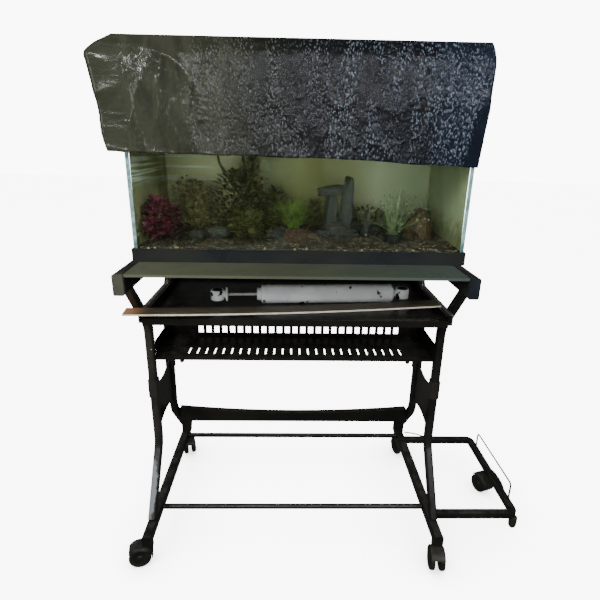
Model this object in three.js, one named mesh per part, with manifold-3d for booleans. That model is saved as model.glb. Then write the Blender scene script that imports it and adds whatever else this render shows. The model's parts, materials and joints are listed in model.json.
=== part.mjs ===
// Aquarium on a wheeled steel trolley, in millimetres, +Z up, front towards -Y.
// The trolley is a computer desk frame: two bent-leg side frames tied by bars, a board between the top
// rails, a sliding tray, a slotted shelf and a side holder on a fifth castor. The tank stands on the
// rails in its base trim, with planting inside, a hood on its rim and a plastic sheet over the hood.
// The export is moved so that the origin is the middle of the whole object's footprint, on the floor.
import * as THREE from "three";
import { mergeVertices } from "three/addons/utils/BufferGeometryUtils.js";
import Module from "manifold-3d";

const wasm = await Module();
wasm.setup();

// ---------------------------------------------------------------- driving dimensions
const GAP = 0.3; // left between pieces that touch

// trolley frame
const FRAME_WIDTH = 768; // over the outside faces of the top rails
const RAIL_LENGTH = 519; // with both end caps
const RAIL_TOP = 781; // height of the rails' top faces above the floor
const RAIL_WIDTH = 23;
const RAIL_HEIGHT = 46;
const CAP_LENGTH = 9;
const LEDGE_WIDTH = 12; // ledge on each rail's inner face, which carries the board
const LEDGE_THICKNESS = 3;
const BOARD_THICKNESS = 6;
const BOARD_FRONT_INSET = 3;

const LEG_WIDTH = 20; // along X
const LEG_DEPTH = 26; // in the plane of the side frame
const LEG_CORNER = 5;
const LEG_TOP_REACH = 198; // leg axis from the frame's mid plane, under the top rail
const LEG_WAIST_REACH = 86; // the same, in the upright middle part
const FRONT_FOOT_REACH = 200; // the same, on the foot rail
const REAR_FOOT_REACH = 224;
const WAIST_TOP = 605; // heights where the leg bends
const WAIST_BOTTOM = 256;
const LEG_BEND = 70;

const FOOT_WIDTH = 24;
const FOOT_HEIGHT = 30;
const FOOT_FRONT = -261; // ends of the foot rails
const FOOT_REAR = 250;

const SLEEVE_WALL = 3;
const SLEEVE_BOTTOM = 400;
const SLEEVE_HEIGHT = 48;
const PLATE_THICKNESS = 5;
const PLATE_BOTTOM = 290;
const PLATE_TOP = 426;
const PLATE_DIP = 16; // how far the plate's curved edges cut into it

const BAR_DIAMETER = 15;
const FRONT_BAR_Y = -137;
const REAR_BAR_Y = 196;

const STRETCHER_Y = 124;
const STRETCHER_DEPTH = 20;
const STRETCHER_BOTTOM = 188;
const STRETCHER_END_HEIGHT = 47;
const STRETCHER_DIP = 17; // the top edge is this much lower in the middle
const LUG_WIDTH = 34;
const LUG_DROP = 46;
const LUG_THICKNESS = 5;

// castors
const WHEEL_RADIUS = 28;
const WHEEL_WIDTH = 14;
const CASTOR_WEB = 10; // the hood's web between its two wheels
const CASTOR_TRAIL = 24; // from the swivel axis to the axle
const AXLE_RADIUS = 4;
const AXLE_CLEARANCE = 0.4;
const STEM_RADIUS = 5;
const STEM_LENGTH = 16; // inside the rail
const HOOD_RING_GAP = 1.5;
const HOOD_RING_WALL = 2.5;
const CASTOR_HEADROOM = 3; // between a castor hood's crown and the rail above it
const FOOT_BOTTOM = 2 * WHEEL_RADIUS + HOOD_RING_GAP + HOOD_RING_WALL + CASTOR_HEADROOM;
const BAR_Z = FOOT_BOTTOM + 14; // axis of the cross bars

// sliding tray
const TRAY_FLOOR = 656; // top face
const SHEET_STEEL = 2;
const TRAY_WALL_TOP = 672;
const TRAY_LIP_BOTTOM = 642;
const TRAY_FRONT = -189;
const TRAY_REAR = 164;
const TRAY_SIDE_CLEARANCE = 1;
const TRAY_HEM = 8; // the side walls' top edges are folded inwards this far
const RUNNER_WIDTH = 10; // flanges, inwards from the web
const RUNNER_FRONT = -184;
const RUNNER_REAR = 150;
const HANGER_Y = 66; // front edge of the strap that hangs the runner from the top rail
const HANGER_WIDTH = 40;
const HANGER_TOP = 764;

// slotted shelf
const SHELF_FLOOR = 510; // top face
const SHELF_FRONT = -85;
const SHELF_REAR = 68;
const SHELF_LIP = 7;
const SHELF_WALL = 44;
const SHELF_EAR = 22; // the side walls run this far behind the rear wall, on to the rear legs
const SLOT_COUNT = 26;
const SLOT_PITCH = 22.7;
const SLOT_LENGTH = 38;
const SLOT_WIDTH = 4;
const SLOT_SETBACK = 26; // from the shelf's front edge to the slots
const HOLE_WIDTH = 14;
const HOLE_HEIGHT = 20;
const HOLE_LIFT = 8;

// side holder
const HOLDER_TUBE = 20;
const HOLDER_Z = FOOT_BOTTOM + 17;
const HOLDER_REACH = 168; // tube axes from the frame's mid plane
const HOLDER_OUT = 612; // X of the side tube's axis
const HOLDER_BEND = 14;
const GUARD_WIRE = 5;
const GUARD_HEIGHT = 46;
const GUARD_FRONT = -116;
const GUARD_REAR = 126;
const LEAF_THICKNESS = 3;
const LEAF_HEIGHT = 27;
const LEAF_FRONT = -112;
const LEAF_REAR = 58;
const STUB_DIAMETER = 22;
const STUB_LENGTH = 34;

// tank
const TANK_LENGTH = 762;
const TANK_DEPTH = 312;
const TANK_HEIGHT = 391; // from the underside of the base trim to the top of the rim
const TANK_X = 5.7; // the tank stands a little to the right of the frame's middle
const TANK_FRONT = -148.6;
const TRIM_WALL = 4;
const TRIM_HEIGHT = 29.7;
const RIM_HEIGHT = 25;
const TRIM_LEDGE = 14;
const TRIM_FLOOR = 8;
const GLASS = 6;
const HOOD_HEIGHT = 66;
const HOOD_WALL = 3;
const HOOD_INSET = 3;

// sheet over the hood
const SHEET = 2.5;
const SHEET_HEM_LEFT = 1019; // heights of the lower edge
const SHEET_HEM_RIGHT = 999;
const SHEET_FRONT_STAND = 20; // how far it hangs in front of the tank
const SHEET_BACK_STAND = 10;
const SHEET_RIGHT_STAND = 3.4;
const SHEET_LEFT_STAND = 14;
const SHEET_TUCKED = 3.2; // stand of the lower right part: drawn in, but clear of the rim when lifted
const SHEET_FLARE = 33; // extra at the front left corner, below its top; less towards the hem

// things on the tray
const DAMPER_RADIUS = 23.5;
const DAMPER_LENGTH = 337; // body only
const DAMPER_BODY_X = -88.5; // rod end of the body
const DAMPER_BODY_Y = -65;
const DAMPER_TURN = 3.4; // degrees
const DAMPER_WALL = 4;
const ROD_RADIUS = 3.6;
const ROD_CLEARANCE = 0.3;
const ROD_SHOWN = 73;
const PISTON_LENGTH = 12;
const EYE_RADIUS = 17;
const EYE_HEIGHT = 25;
const EYE_BORE = 7;
const STOP_RADIUS = 18;
const SLAT_LENGTH = 742;
const SLAT_WIDTH = 44;
const SLAT_THICKNESS = 4;
const SLAT_SAG = 6;
const SLAT_LIFT = 1.7; // its ends stand this far above the edges that it rests on, which are further in
const SLAT_X = -388; // its near left corner
const SLAT_Y = -215.5;
const SLAT_TURN = 6.3; // degrees

// inside the tank
const GRAVEL_FRONT = 18; // depth of the gravel along the front
const GRAVEL_BACK = 26;
const AIRLINE_DIAMETER = 5;

// ---------------------------------------------------------------- values worked out from them
const HALF_WIDTH = FRAME_WIDTH / 2;
const RAIL_INSIDE = HALF_WIDTH - RAIL_WIDTH;
const RAIL_BOTTOM = RAIL_TOP - RAIL_HEIGHT;
const LEG_X = HALF_WIDTH - LEG_WIDTH / 2;
const LEG_INSIDE = HALF_WIDTH - LEG_WIDTH;
const FOOT_X = LEG_X;
const FOOT_TOP = FOOT_BOTTOM + FOOT_HEIGHT;
const FOOT_INSIDE = FOOT_X - FOOT_WIDTH / 2;
const FOOT_OUTSIDE = FOOT_X + FOOT_WIDTH / 2;
const TANK_BOTTOM = RAIL_TOP + GAP;
const TANK_TOP = TANK_BOTTOM + TANK_HEIGHT;
const TANK_Y = TANK_FRONT + TANK_DEPTH / 2;
const GLASS_LENGTH = TANK_LENGTH - 2 * TRIM_WALL - 2 * GAP;
const GLASS_DEPTH = TANK_DEPTH - 2 * TRIM_WALL - 2 * GAP;
const GLASS_FLOOR = TANK_BOTTOM + TRIM_FLOOR + GLASS + GAP; // top face of the bottom pane
const GLASS_TOP = TANK_TOP - TRIM_FLOOR - GAP;
const HOOD_BOTTOM = TANK_TOP + GAP;
const HOOD_TOP = HOOD_BOTTOM + HOOD_HEIGHT;
const SHEET_TOP = HOOD_TOP + GAP + SHEET;

// ---------------------------------------------------------------- finishes
function finish(color, roughness, metalness, opacity = 1) {
  return new THREE.MeshStandardMaterial({
    color,
    roughness,
    metalness,
    opacity,
    transparent: opacity < 1,
  });
}
const BLACK_PAINT = finish(0x17181a, 0.42, 0.3);
const BLACK_PLASTIC = finish(0x1c1e22, 0.45, 0);
const BOARD_GREY = finish(0x4e5348, 0.5, 0);
const ZINC = finish(0x9a9a94, 0.4, 0.8);
const CLEAR_GLASS = finish(0xcfe6e2, 0.05, 0, 0.3);
const TRIM_BLACK = finish(0x191c22, 0.35, 0);
const SHEET_BLACK = finish(0x15171a, 0.25, 0);
const WHITE_PAINT = finish(0xdfe3e2, 0.4, 0.1);
const ROD_STEEL = finish(0xc9c9c4, 0.25, 0.9);
const SLAT_WOOD = finish(0x6b5a45, 0.6, 0);
const GRAVEL = finish(0x3a2f22, 0.9, 0);
const ROCK = finish(0x3c4038, 0.9, 0);
const SHELL_BROWN = finish(0x5c4426, 0.8, 0);
const WOOD_DARK = finish(0x2e2a1a, 0.85, 0);
const LEAF_GREEN = finish(0x3f6b2a, 0.6, 0);
const LEAF_PALE = finish(0x8fa36a, 0.6, 0);
const LEAF_OLIVE = finish(0x35421f, 0.6, 0);
const LEAF_RED = finish(0x5a1a2c, 0.6, 0);
const HOSE_DARK = finish(0x2a3036, 0.4, 0);
const STONE_BLUE = finish(0x53606a, 0.9, 0);

// ---------------------------------------------------------------- shape helpers
const rad = THREE.MathUtils.degToRad;

/** A closed three.js geometry as a manifold solid. */
function solid(geometry) {
  const bare = geometry.clone();
  bare.deleteAttribute("normal");
  bare.deleteAttribute("uv");
  const merged = mergeVertices(bare, 1e-4);
  return new wasm.Manifold(
    new wasm.Mesh({
      numProp: 3,
      vertProperties: merged.attributes.position.array,
      triVerts: new Uint32Array(merged.index.array),
    }),
  );
}

/** A manifold solid as a three.js geometry. */
function geometryOf(made) {
  const mesh = made.getMesh();
  const geometry = new THREE.BufferGeometry();
  geometry.setAttribute("position", new THREE.BufferAttribute(mesh.vertProperties, 3));
  geometry.setIndex(new THREE.BufferAttribute(mesh.triVerts, 1));
  geometry.computeVertexNormals();
  return geometry;
}

/** A box between two corners. */
function box(x0, x1, y0, y1, z0, z1) {
  const shape = new THREE.BoxGeometry(x1 - x0, y1 - y0, z1 - z0);
  return shape.translate((x0 + x1) / 2, (y0 + y1) / 2, (z0 + z1) / 2);
}

/** A cylinder whose axis runs along x, y or z, centred on a point. */
function cylinder(radius, length, axis, [x, y, z], sides = 16) {
  const shape = new THREE.CylinderGeometry(radius, radius, length, sides);
  if (axis === "x") shape.rotateZ(Math.PI / 2);
  if (axis === "z") shape.rotateX(Math.PI / 2);
  return shape.translate(x, y, z);
}

/** Several geometries joined into one solid, less the ones in a second list. */
function joined(added, removed = []) {
  let made = solid(added[0]);
  for (const piece of added.slice(1)) made = made.add(solid(piece));
  for (const piece of removed) made = made.subtract(solid(piece));
  return geometryOf(made);
}

/** A rectangle with round corners, as a section or an outline centred on the origin. */
function roundedRectangle(width, height, radius, steps = 2) {
  const points = [];
  const corners = [
    [width / 2 - radius, height / 2 - radius, 0],
    [radius - width / 2, height / 2 - radius, 90],
    [radius - width / 2, radius - height / 2, 180],
    [width / 2 - radius, radius - height / 2, 270],
  ];
  for (const [x, y, start] of corners) {
    for (let i = 0; i <= steps; i++) {
      const a = rad(start + (90 * i) / steps);
      points.push(new THREE.Vector2(x + radius * Math.cos(a), y + radius * Math.sin(a)));
    }
  }
  return new THREE.Shape(points);
}

/** A round section with a given number of sides. */
function roundSection(diameter, sides = 8) {
  const points = [];
  for (let i = 0; i < sides; i++) {
    const a = (2 * Math.PI * (i + 0.5)) / sides;
    points.push(new THREE.Vector2(Math.cos(a), Math.sin(a)).multiplyScalar(diameter / 2));
  }
  return new THREE.Shape(points);
}

/** A path through given stations, so that a sweep has a ring at each of them and nowhere else. */
class StationPath extends THREE.Curve {
  constructor(stations) {
    super();
    this.stations = stations;
  }
  getPoint(t) {
    const last = this.stations.length - 1;
    const i = Math.min(Math.floor(t * last + 1e-9), last - 1);
    return this.stations[i].clone().lerp(this.stations[i + 1], t * last - i);
  }
  getPointAt(u) {
    return this.getPoint(u);
  }
  getTangentAt(u) {
    const last = this.stations.length - 1;
    const i = Math.round(u * last);
    const before = this.stations[Math.max(i - 1, 0)];
    const after = this.stations[Math.min(i + 1, last)];
    return after.clone().sub(before).normalize();
  }
}

/** Corner points with each inner corner rounded by an arc of a given radius. */
function filleted(corners, radius, steps) {
  const stations = [corners[0].clone()];
  for (let i = 1; i < corners.length - 1; i++) {
    const back = corners[i - 1].clone().sub(corners[i]).normalize();
    const on = corners[i + 1].clone().sub(corners[i]).normalize();
    const half = back.angleTo(on) / 2;
    const setback = radius / Math.tan(half);
    const centre = back.clone().add(on).normalize().multiplyScalar(radius / Math.sin(half));
    const from = back.multiplyScalar(setback).sub(centre);
    const to = on.multiplyScalar(setback).sub(centre);
    const sweep = from.angleTo(to);
    for (let k = 0; k <= steps; k++) {
      const a = (sweep * k) / steps;
      const spoke = from.clone().multiplyScalar(Math.sin(sweep - a) / Math.sin(sweep));
      spoke.add(to.clone().multiplyScalar(Math.sin(a) / Math.sin(sweep)));
      stations.push(spoke.add(centre).add(corners[i]));
    }
  }
  stations.push(corners[corners.length - 1].clone());
  return stations;
}

/** A section swept through stations. */
function swept(section, stations) {
  return new THREE.ExtrudeGeometry(section, {
    steps: stations.length - 1,
    extrudePath: new StationPath(stations),
    curveSegments: 1,
  });
}

/** An outline drawn in the Y-Z plane and given a thickness along X, centred on x. */
function profileAcross(outline, x, thickness, curveSegments = 6) {
  const shape = new THREE.ExtrudeGeometry(outline, {
    depth: thickness,
    bevelEnabled: false,
    curveSegments,
  });
  // drawn as (y, z) -> turned so that the sheet's own axes become Y, Z and the depth X
  shape.applyMatrix4(new THREE.Matrix4().set(0, 0, 1, 0, 1, 0, 0, 0, 0, 1, 0, 0, 0, 0, 0, 1));
  return shape.translate(x - thickness / 2, 0, 0);
}

/** An outline drawn in the X-Z plane and given a depth along Y, centred on y. */
function profileAlong(outline, y, depth, curveSegments = 8) {
  const shape = new THREE.ExtrudeGeometry(outline, { depth, bevelEnabled: false, curveSegments });
  return shape.rotateX(Math.PI / 2).translate(0, y + depth / 2, 0);
}

/** A turned shape about Z, from (radius, height) pairs that start and end on the axis. */
function turned(pairs, sides = 16) {
  return new THREE.LatheGeometry(
    pairs.map(([r, z]) => new THREE.Vector2(r, z)),
    sides,
  ).rotateX(Math.PI / 2);
}

/** Closed skin over rings of equal length, capped at both ends. Rings run counter-clockwise from above,
 *  from the lowest to the highest. */
function skinned(rings) {
  const count = rings[0].length;
  const positions = rings.flat().flatMap((p) => p.toArray());
  const index = [];
  for (let r = 0; r < rings.length - 1; r++) {
    for (let i = 0; i < count; i++) {
      const a = r * count + i;
      const b = r * count + ((i + 1) % count);
      index.push(a, b, b + count, a, b + count, a + count);
    }
  }
  const bottomCentre = positions.length / 3;
  const topCentre = bottomCentre + 1;
  for (const ring of [rings[0], rings[rings.length - 1]]) {
    const middle = new THREE.Vector3();
    for (const p of ring) middle.addScaledVector(p, 1 / count);
    positions.push(...middle.toArray());
  }
  const top = (rings.length - 1) * count;
  for (let i = 0; i < count; i++) {
    index.push(bottomCentre, (i + 1) % count, i);
    index.push(topCentre, top + i, top + ((i + 1) % count));
  }
  const geometry = new THREE.BufferGeometry();
  geometry.setAttribute("position", new THREE.Float32BufferAttribute(positions, 3));
  geometry.setIndex(index);
  geometry.computeVertexNormals();
  return geometry;
}

const assembly = new THREE.Group();

/** Adds a named piece to a group. */
function piece(name, geometry, material, group = assembly) {
  const mesh = new THREE.Mesh(geometry, material);
  mesh.name = name;
  group.add(mesh);
  return mesh;
}

const SIDES = [
  ["left", -1],
  ["right", 1],
];

// ---------------------------------------------------------------- top rails and board
function topRail(side) {
  const half = RAIL_LENGTH / 2 - CAP_LENGTH - GAP;
  const section = roundedRectangle(RAIL_WIDTH, RAIL_HEIGHT, 3, 1);
  const middle = (RAIL_TOP + RAIL_BOTTOM) / 2;
  const bar = profileAlong(section, 0, 2 * half).translate(side * (RAIL_INSIDE + RAIL_WIDTH / 2), 0, middle);
  const ledgeTop = RAIL_TOP - BOARD_THICKNESS - GAP;
  const inner = side * (RAIL_INSIDE - LEDGE_WIDTH);
  const root = side * (RAIL_INSIDE + 1);
  const ledge = box(
    Math.min(inner, root),
    Math.max(inner, root),
    -half,
    half,
    ledgeTop - LEDGE_THICKNESS,
    ledgeTop,
  );
  return joined([bar, ledge]);
}

function railCap(side, end) {
  const section = roundedRectangle(RAIL_WIDTH, RAIL_HEIGHT, 3.5, 3);
  const y = end * (RAIL_LENGTH / 2 - CAP_LENGTH / 2);
  const x = side * (RAIL_INSIDE + RAIL_WIDTH / 2);
  return profileAlong(section, y, CAP_LENGTH).translate(x, 0, (RAIL_TOP + RAIL_BOTTOM) / 2);
}

for (const [label, side] of SIDES) {
  piece("top_rail_" + label, topRail(side), BLACK_PAINT);
  piece("rail_cap_front_" + label, railCap(side, -1), BLACK_PLASTIC);
  piece("rail_cap_rear_" + label, railCap(side, 1), BLACK_PLASTIC);
}

const BOARD_HALF = RAIL_INSIDE - GAP;
piece(
  "desk_board",
  box(
    -BOARD_HALF,
    BOARD_HALF,
    BOARD_FRONT_INSET - RAIL_LENGTH / 2,
    RAIL_LENGTH / 2 - BOARD_FRONT_INSET,
    RAIL_TOP - BOARD_THICKNESS,
    RAIL_TOP,
  ),
  BOARD_GREY,
);

// ---------------------------------------------------------------- legs, foot rails and side plates
/** One leg: leaning in from the top rail to the waist, upright, then leaning out to the foot rail. */
function leg(side, end) {
  const footReach = end < 0 ? FRONT_FOOT_REACH : REAR_FOOT_REACH;
  const lean = (LEG_TOP_REACH - LEG_WAIST_REACH) / (RAIL_BOTTOM - WAIST_TOP);
  const spread = (footReach - LEG_WAIST_REACH) / (WAIST_BOTTOM - FOOT_TOP);
  const over = 30; // the axis runs on past both cuts
  const at = (reach, z) => new THREE.Vector3(side * LEG_X, end * reach, z);
  const stations = filleted(
    [
      at(LEG_TOP_REACH + over * lean, RAIL_BOTTOM + over),
      at(LEG_WAIST_REACH, WAIST_TOP),
      at(LEG_WAIST_REACH, WAIST_BOTTOM),
      at(footReach + over * spread, FOOT_TOP - over),
    ],
    LEG_BEND,
    4,
  );
  const tube = solid(swept(roundedRectangle(LEG_WIDTH, LEG_DEPTH, LEG_CORNER), stations));
  const keep = solid(box(-999, 999, -999, 999, FOOT_TOP + GAP, RAIL_BOTTOM - GAP));
  return geometryOf(tube.intersect(keep));
}

/** A foot rail, with a blind hole at each end for a castor's stem. */
function footRail(side) {
  const section = roundedRectangle(FOOT_WIDTH, FOOT_HEIGHT, 5, 2);
  const length = FOOT_REAR - FOOT_FRONT;
  const bar = profileAlong(section, (FOOT_REAR + FOOT_FRONT) / 2, length).translate(
    side * FOOT_X,
    0,
    (FOOT_TOP + FOOT_BOTTOM) / 2,
  );
  return joined([bar], [-1, 1].map((end) => stemHole(...castorStem(side, end), FOOT_BOTTOM)));
}

/** The plate that ties the two legs of a side at the waist, with a sleeve round each leg. */
function sidePlate(side) {
  const inner = LEG_WAIST_REACH - LEG_DEPTH / 2 - GAP;
  const outline = new THREE.Shape();
  outline.moveTo(-inner, PLATE_BOTTOM);
  outline.quadraticCurveTo(0, PLATE_BOTTOM + 2 * PLATE_DIP, inner, PLATE_BOTTOM);
  outline.lineTo(inner, PLATE_TOP);
  outline.quadraticCurveTo(0, PLATE_TOP - 2 * PLATE_DIP, -inner, PLATE_TOP);
  const plate = profileAcross(outline, side * LEG_X, PLATE_THICKNESS, 8);
  const sleeves = [];
  const legs = [];
  for (const end of [-1, 1]) {
    const middle = [side * LEG_X, end * LEG_WAIST_REACH, SLEEVE_BOTTOM + SLEEVE_HEIGHT / 2];
    const round = (grow, height) =>
      new THREE.ExtrudeGeometry(
        roundedRectangle(LEG_WIDTH + 2 * grow, LEG_DEPTH + 2 * grow, LEG_CORNER + grow),
        { depth: height, bevelEnabled: false },
      ).translate(middle[0], middle[1], middle[2] - height / 2);
    sleeves.push(round(SLEEVE_WALL, SLEEVE_HEIGHT));
    legs.push(round(GAP, 3 * SLEEVE_HEIGHT + 400));
  }
  return joined([plate, ...sleeves], legs);
}

for (const [label, side] of SIDES) {
  piece("leg_front_" + label, leg(side, -1), BLACK_PAINT);
  piece("leg_rear_" + label, leg(side, 1), BLACK_PAINT);
  piece("foot_rail_" + label, footRail(side), BLACK_PAINT);
  piece("side_plate_" + label, sidePlate(side), BLACK_PAINT);
}

// ---------------------------------------------------------------- cross bars
/** The pressed rear stretcher: straight lower edge, top edge lower in the middle, a rounded lug at each
 *  end that runs down the rear leg. */
function rearStretcher() {
  const half = LEG_INSIDE - GAP;
  const beam = new THREE.Shape();
  const top = STRETCHER_BOTTOM + STRETCHER_END_HEIGHT;
  beam.moveTo(-half, STRETCHER_BOTTOM);
  beam.lineTo(half, STRETCHER_BOTTOM);
  beam.lineTo(half, top);
  beam.quadraticCurveTo(0, top - 2 * STRETCHER_DIP, -half, top);
  const parts = [profileAlong(beam, STRETCHER_Y, STRETCHER_DEPTH, 10)];
  for (const [, side] of SIDES) {
    const lug = new THREE.Shape();
    lug.moveTo(side * half, STRETCHER_BOTTOM + 10);
    lug.lineTo(side * (half - LUG_WIDTH), STRETCHER_BOTTOM + 10);
    lug.lineTo(side * (half - LUG_WIDTH), STRETCHER_BOTTOM - 8);
    lug.quadraticCurveTo(
      side * (half - LUG_WIDTH),
      STRETCHER_BOTTOM - LUG_DROP,
      side * half,
      STRETCHER_BOTTOM - LUG_DROP,
    );
    parts.push(profileAlong(lug, STRETCHER_Y, LUG_THICKNESS, 5));
  }
  return joined(parts);
}

function crossBar(y) {
  return cylinder(BAR_DIAMETER / 2, 2 * (FOOT_INSIDE - GAP), "x", [0, y, BAR_Z], 12);
}

piece("rear_stretcher", rearStretcher(), BLACK_PAINT);
piece("cross_bar_front", crossBar(FRONT_BAR_Y), BLACK_PAINT);
piece("cross_bar_rear", crossBar(REAR_BAR_Y), BLACK_PAINT);

// ---------------------------------------------------------------- castors
/** Where a castor's stem stands under a foot rail. */
function castorStem(side, end) {
  const inset = 19;
  return [side * FOOT_X, end < 0 ? FOOT_FRONT + inset : FOOT_REAR - inset];
}

/** The blind hole that takes a stem, going up from the underside z. */
function stemHole(x, y, z) {
  const length = STEM_LENGTH + 1;
  return cylinder(STEM_RADIUS + GAP, length + 2, "z", [x, y, z + length / 2 - 1], 12);
}

/** A castor's hood: stem, web between the wheels and a curved cover, its wheels trailing towards -Y.
 *  It is pressed up against a face at the height seat. */
function castorHood(seat) {
  const ringInner = WHEEL_RADIUS + HOOD_RING_GAP;
  const ringOuter = ringInner + HOOD_RING_WALL;
  const width = CASTOR_WEB + 2 * WHEEL_WIDTH;
  const arc = (radius) => {
    const points = [];
    for (let i = 0; i <= 8; i++) {
      const a = rad(-8 + (150 * i) / 8);
      points.push(new THREE.Vector2(radius * Math.cos(a), radius * Math.sin(a)));
    }
    return points;
  };
  const cover = new THREE.Shape([...arc(ringOuter), ...arc(ringInner).reverse()]);
  const web = new THREE.Shape([...arc(ringOuter - 1), new THREE.Vector2(-12, -10), new THREE.Vector2(10, -14)]);
  const centre = [0, -CASTOR_TRAIL, WHEEL_RADIUS];
  const low = FOOT_BOTTOM - 20;
  const stemTop = seat + STEM_LENGTH;
  const boss = cylinder(11, seat - low, "z", [0, 0, (seat + low) / 2], 16);
  const stem = cylinder(STEM_RADIUS, stemTop - low, "z", [0, 0, (stemTop + low) / 2], 12);
  const added = [
    profileAcross(web, 0, CASTOR_WEB).translate(0, centre[1], centre[2]),
    profileAcross(cover, 0, width).translate(0, centre[1], centre[2]),
    boss,
    stem,
  ];
  const bore = cylinder(AXLE_RADIUS + AXLE_CLEARANCE, 60, "x", centre, 12);
  const wheelRoom = [-1, 1].map((side) =>
    cylinder(ringInner, WHEEL_WIDTH + 6, "x", [
      side * (CASTOR_WEB / 2 + WHEEL_WIDTH / 2 + 3),
      centre[1],
      centre[2],
    ], 24),
  );
  return joined(added, [bore, ...wheelRoom]);
}

/** Two wheels on one axle along X, centred on the origin. */
function castorWheels() {
  const start = CASTOR_WEB / 2 + 1.5;
  const end = CASTOR_WEB / 2 + WHEEL_WIDTH - 1;
  const half = [
    [AXLE_RADIUS, start],
    [WHEEL_RADIUS, start],
    [WHEEL_RADIUS, end - 4],
    [WHEEL_RADIUS - 4, end],
    [0, end],
  ];
  const pairs = [...half.map(([r, x]) => [r, -x]).reverse(), ...half];
  return turned(pairs, 20).rotateY(Math.PI / 2);
}

/** Stands a castor under (x, y, seat), its wheels trailing in a direction in degrees from +X. */
function castor(label, x, y, direction, seat = FOOT_BOTTOM - GAP) {
  const group = new THREE.Group();
  group.position.set(x, y, 0);
  group.rotation.z = rad(direction + 90);
  assembly.add(group);
  piece("castor_hood_" + label, castorHood(seat), BLACK_PLASTIC, group);
  const wheels = piece("castor_wheels_" + label, castorWheels(), BLACK_PLASTIC, group);
  wheels.position.set(0, -CASTOR_TRAIL, WHEEL_RADIUS);
}

const SIDE_CASTOR_Y = -2;
const HOLDER_UNDERSIDE = HOLDER_Z - HOLDER_TUBE / 2;
castor("front_left", ...castorStem(-1, -1), -165);
castor("front_right", ...castorStem(1, -1), -97);
castor("rear_left", ...castorStem(-1, 1), -69);
castor("rear_right", ...castorStem(1, 1), -75);
castor("side", HOLDER_OUT, SIDE_CASTOR_Y, 110, HOLDER_UNDERSIDE - GAP);

// ---------------------------------------------------------------- side holder
function holderFrame() {
  const at = (x, y) => new THREE.Vector3(x, y, HOLDER_Z);
  const start = FOOT_OUTSIDE + GAP;
  const stations = filleted(
    [
      at(start, -HOLDER_REACH),
      at(HOLDER_OUT, -HOLDER_REACH),
      at(HOLDER_OUT, HOLDER_REACH),
      at(start, HOLDER_REACH),
    ],
    HOLDER_BEND,
    4,
  );
  const tube = swept(roundedRectangle(HOLDER_TUBE, HOLDER_TUBE, 4), stations);
  const underside = HOLDER_Z - HOLDER_TUBE / 2;
  return joined([tube], [stemHole(HOLDER_OUT, SIDE_CASTOR_Y, underside)]);
}

/** The wire guard that stands on the side tube. */
function holderGuard() {
  const base = HOLDER_Z + HOLDER_TUBE / 2 + GAP;
  const x = HOLDER_OUT + HOLDER_TUBE / 2 - GUARD_WIRE / 2 - 1;
  const at = (y, z) => new THREE.Vector3(x, y, z);
  const corners = [
    at(GUARD_FRONT, base),
    at(GUARD_FRONT, base + GUARD_HEIGHT),
    at(GUARD_REAR, base + GUARD_HEIGHT),
    at(GUARD_REAR, base),
  ];
  return swept(roundSection(GUARD_WIRE), filleted(corners, 9, 3));
}

/** The curved plate beside the guard. */
function holderLeaf() {
  const base = HOLDER_Z + HOLDER_TUBE / 2 + GAP;
  const outline = new THREE.Shape();
  outline.moveTo(LEAF_FRONT, base);
  outline.lineTo(LEAF_REAR, base);
  const shoulder = LEAF_REAR - 70;
  outline.bezierCurveTo(shoulder, base + 3, shoulder, base + LEAF_HEIGHT, LEAF_FRONT + 40, base + LEAF_HEIGHT);
  outline.quadraticCurveTo(LEAF_FRONT, base + LEAF_HEIGHT, LEAF_FRONT, base);
  const x = HOLDER_OUT - HOLDER_TUBE / 2 + LEAF_THICKNESS / 2 + 3;
  return profileAcross(outline, x, LEAF_THICKNESS, 7);
}

/** The plastic stub under the front corner of the holder. */
function holderStub() {
  const top = HOLDER_Z - HOLDER_TUBE / 2 - GAP;
  const r = STUB_DIAMETER / 2;
  const pairs = [
    [0, top - STUB_LENGTH],
    [r * 0.6, top - STUB_LENGTH],
    [r * 0.9, top - STUB_LENGTH + 5],
    [r, top - STUB_LENGTH + 14],
    [r, top],
    [0, top],
  ];
  return turned(pairs, 14).translate(HOLDER_OUT, -HOLDER_REACH, 0);
}

piece("holder_frame", holderFrame(), BLACK_PAINT);
piece("holder_guard", holderGuard(), BLACK_PAINT);
piece("holder_leaf", holderLeaf(), BLACK_PAINT);
piece("holder_stub", holderStub(), BLACK_PLASTIC);

// ---------------------------------------------------------------- tray and runners
const RUNNER_OUTSIDE = LEG_INSIDE - GAP;
const TRAY_HALF = RUNNER_OUTSIDE - RUNNER_WIDTH - TRAY_SIDE_CLEARANCE;
const TRAY_FOOT = TRAY_LIP_BOTTOM + 5; // lower edge of the tray's side walls
const RUNNER_TOP = TRAY_WALL_TOP;

/** A box given by its distances from the middle plane on one side. */
function sideBox(side, near, far, y0, y1, z0, z1) {
  return box(Math.min(side * near, side * far), Math.max(side * near, side * far), y0, y1, z0, z1);
}

/** A channel that the tray's side wall runs in, with a strap up to the top rail. */
function trayRunner(side) {
  const out = RUNNER_OUTSIDE;
  const shelf = TRAY_FOOT - GAP;
  const strapOut = RAIL_INSIDE - GAP;
  return joined([
    sideBox(side, out - 1.5, out, RUNNER_FRONT, RUNNER_REAR, shelf - 1.5, RUNNER_TOP),
    sideBox(side, out - RUNNER_WIDTH - 6, out, RUNNER_FRONT, RUNNER_REAR, shelf - 1.5, shelf),
    sideBox(side, out - RUNNER_WIDTH, out, RUNNER_FRONT, RUNNER_REAR, RUNNER_TOP - 1.5, RUNNER_TOP),
    sideBox(side, strapOut - 2, strapOut, HANGER_Y, HANGER_Y + HANGER_WIDTH, RUNNER_TOP - 1, HANGER_TOP),
  ]);
}

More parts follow.
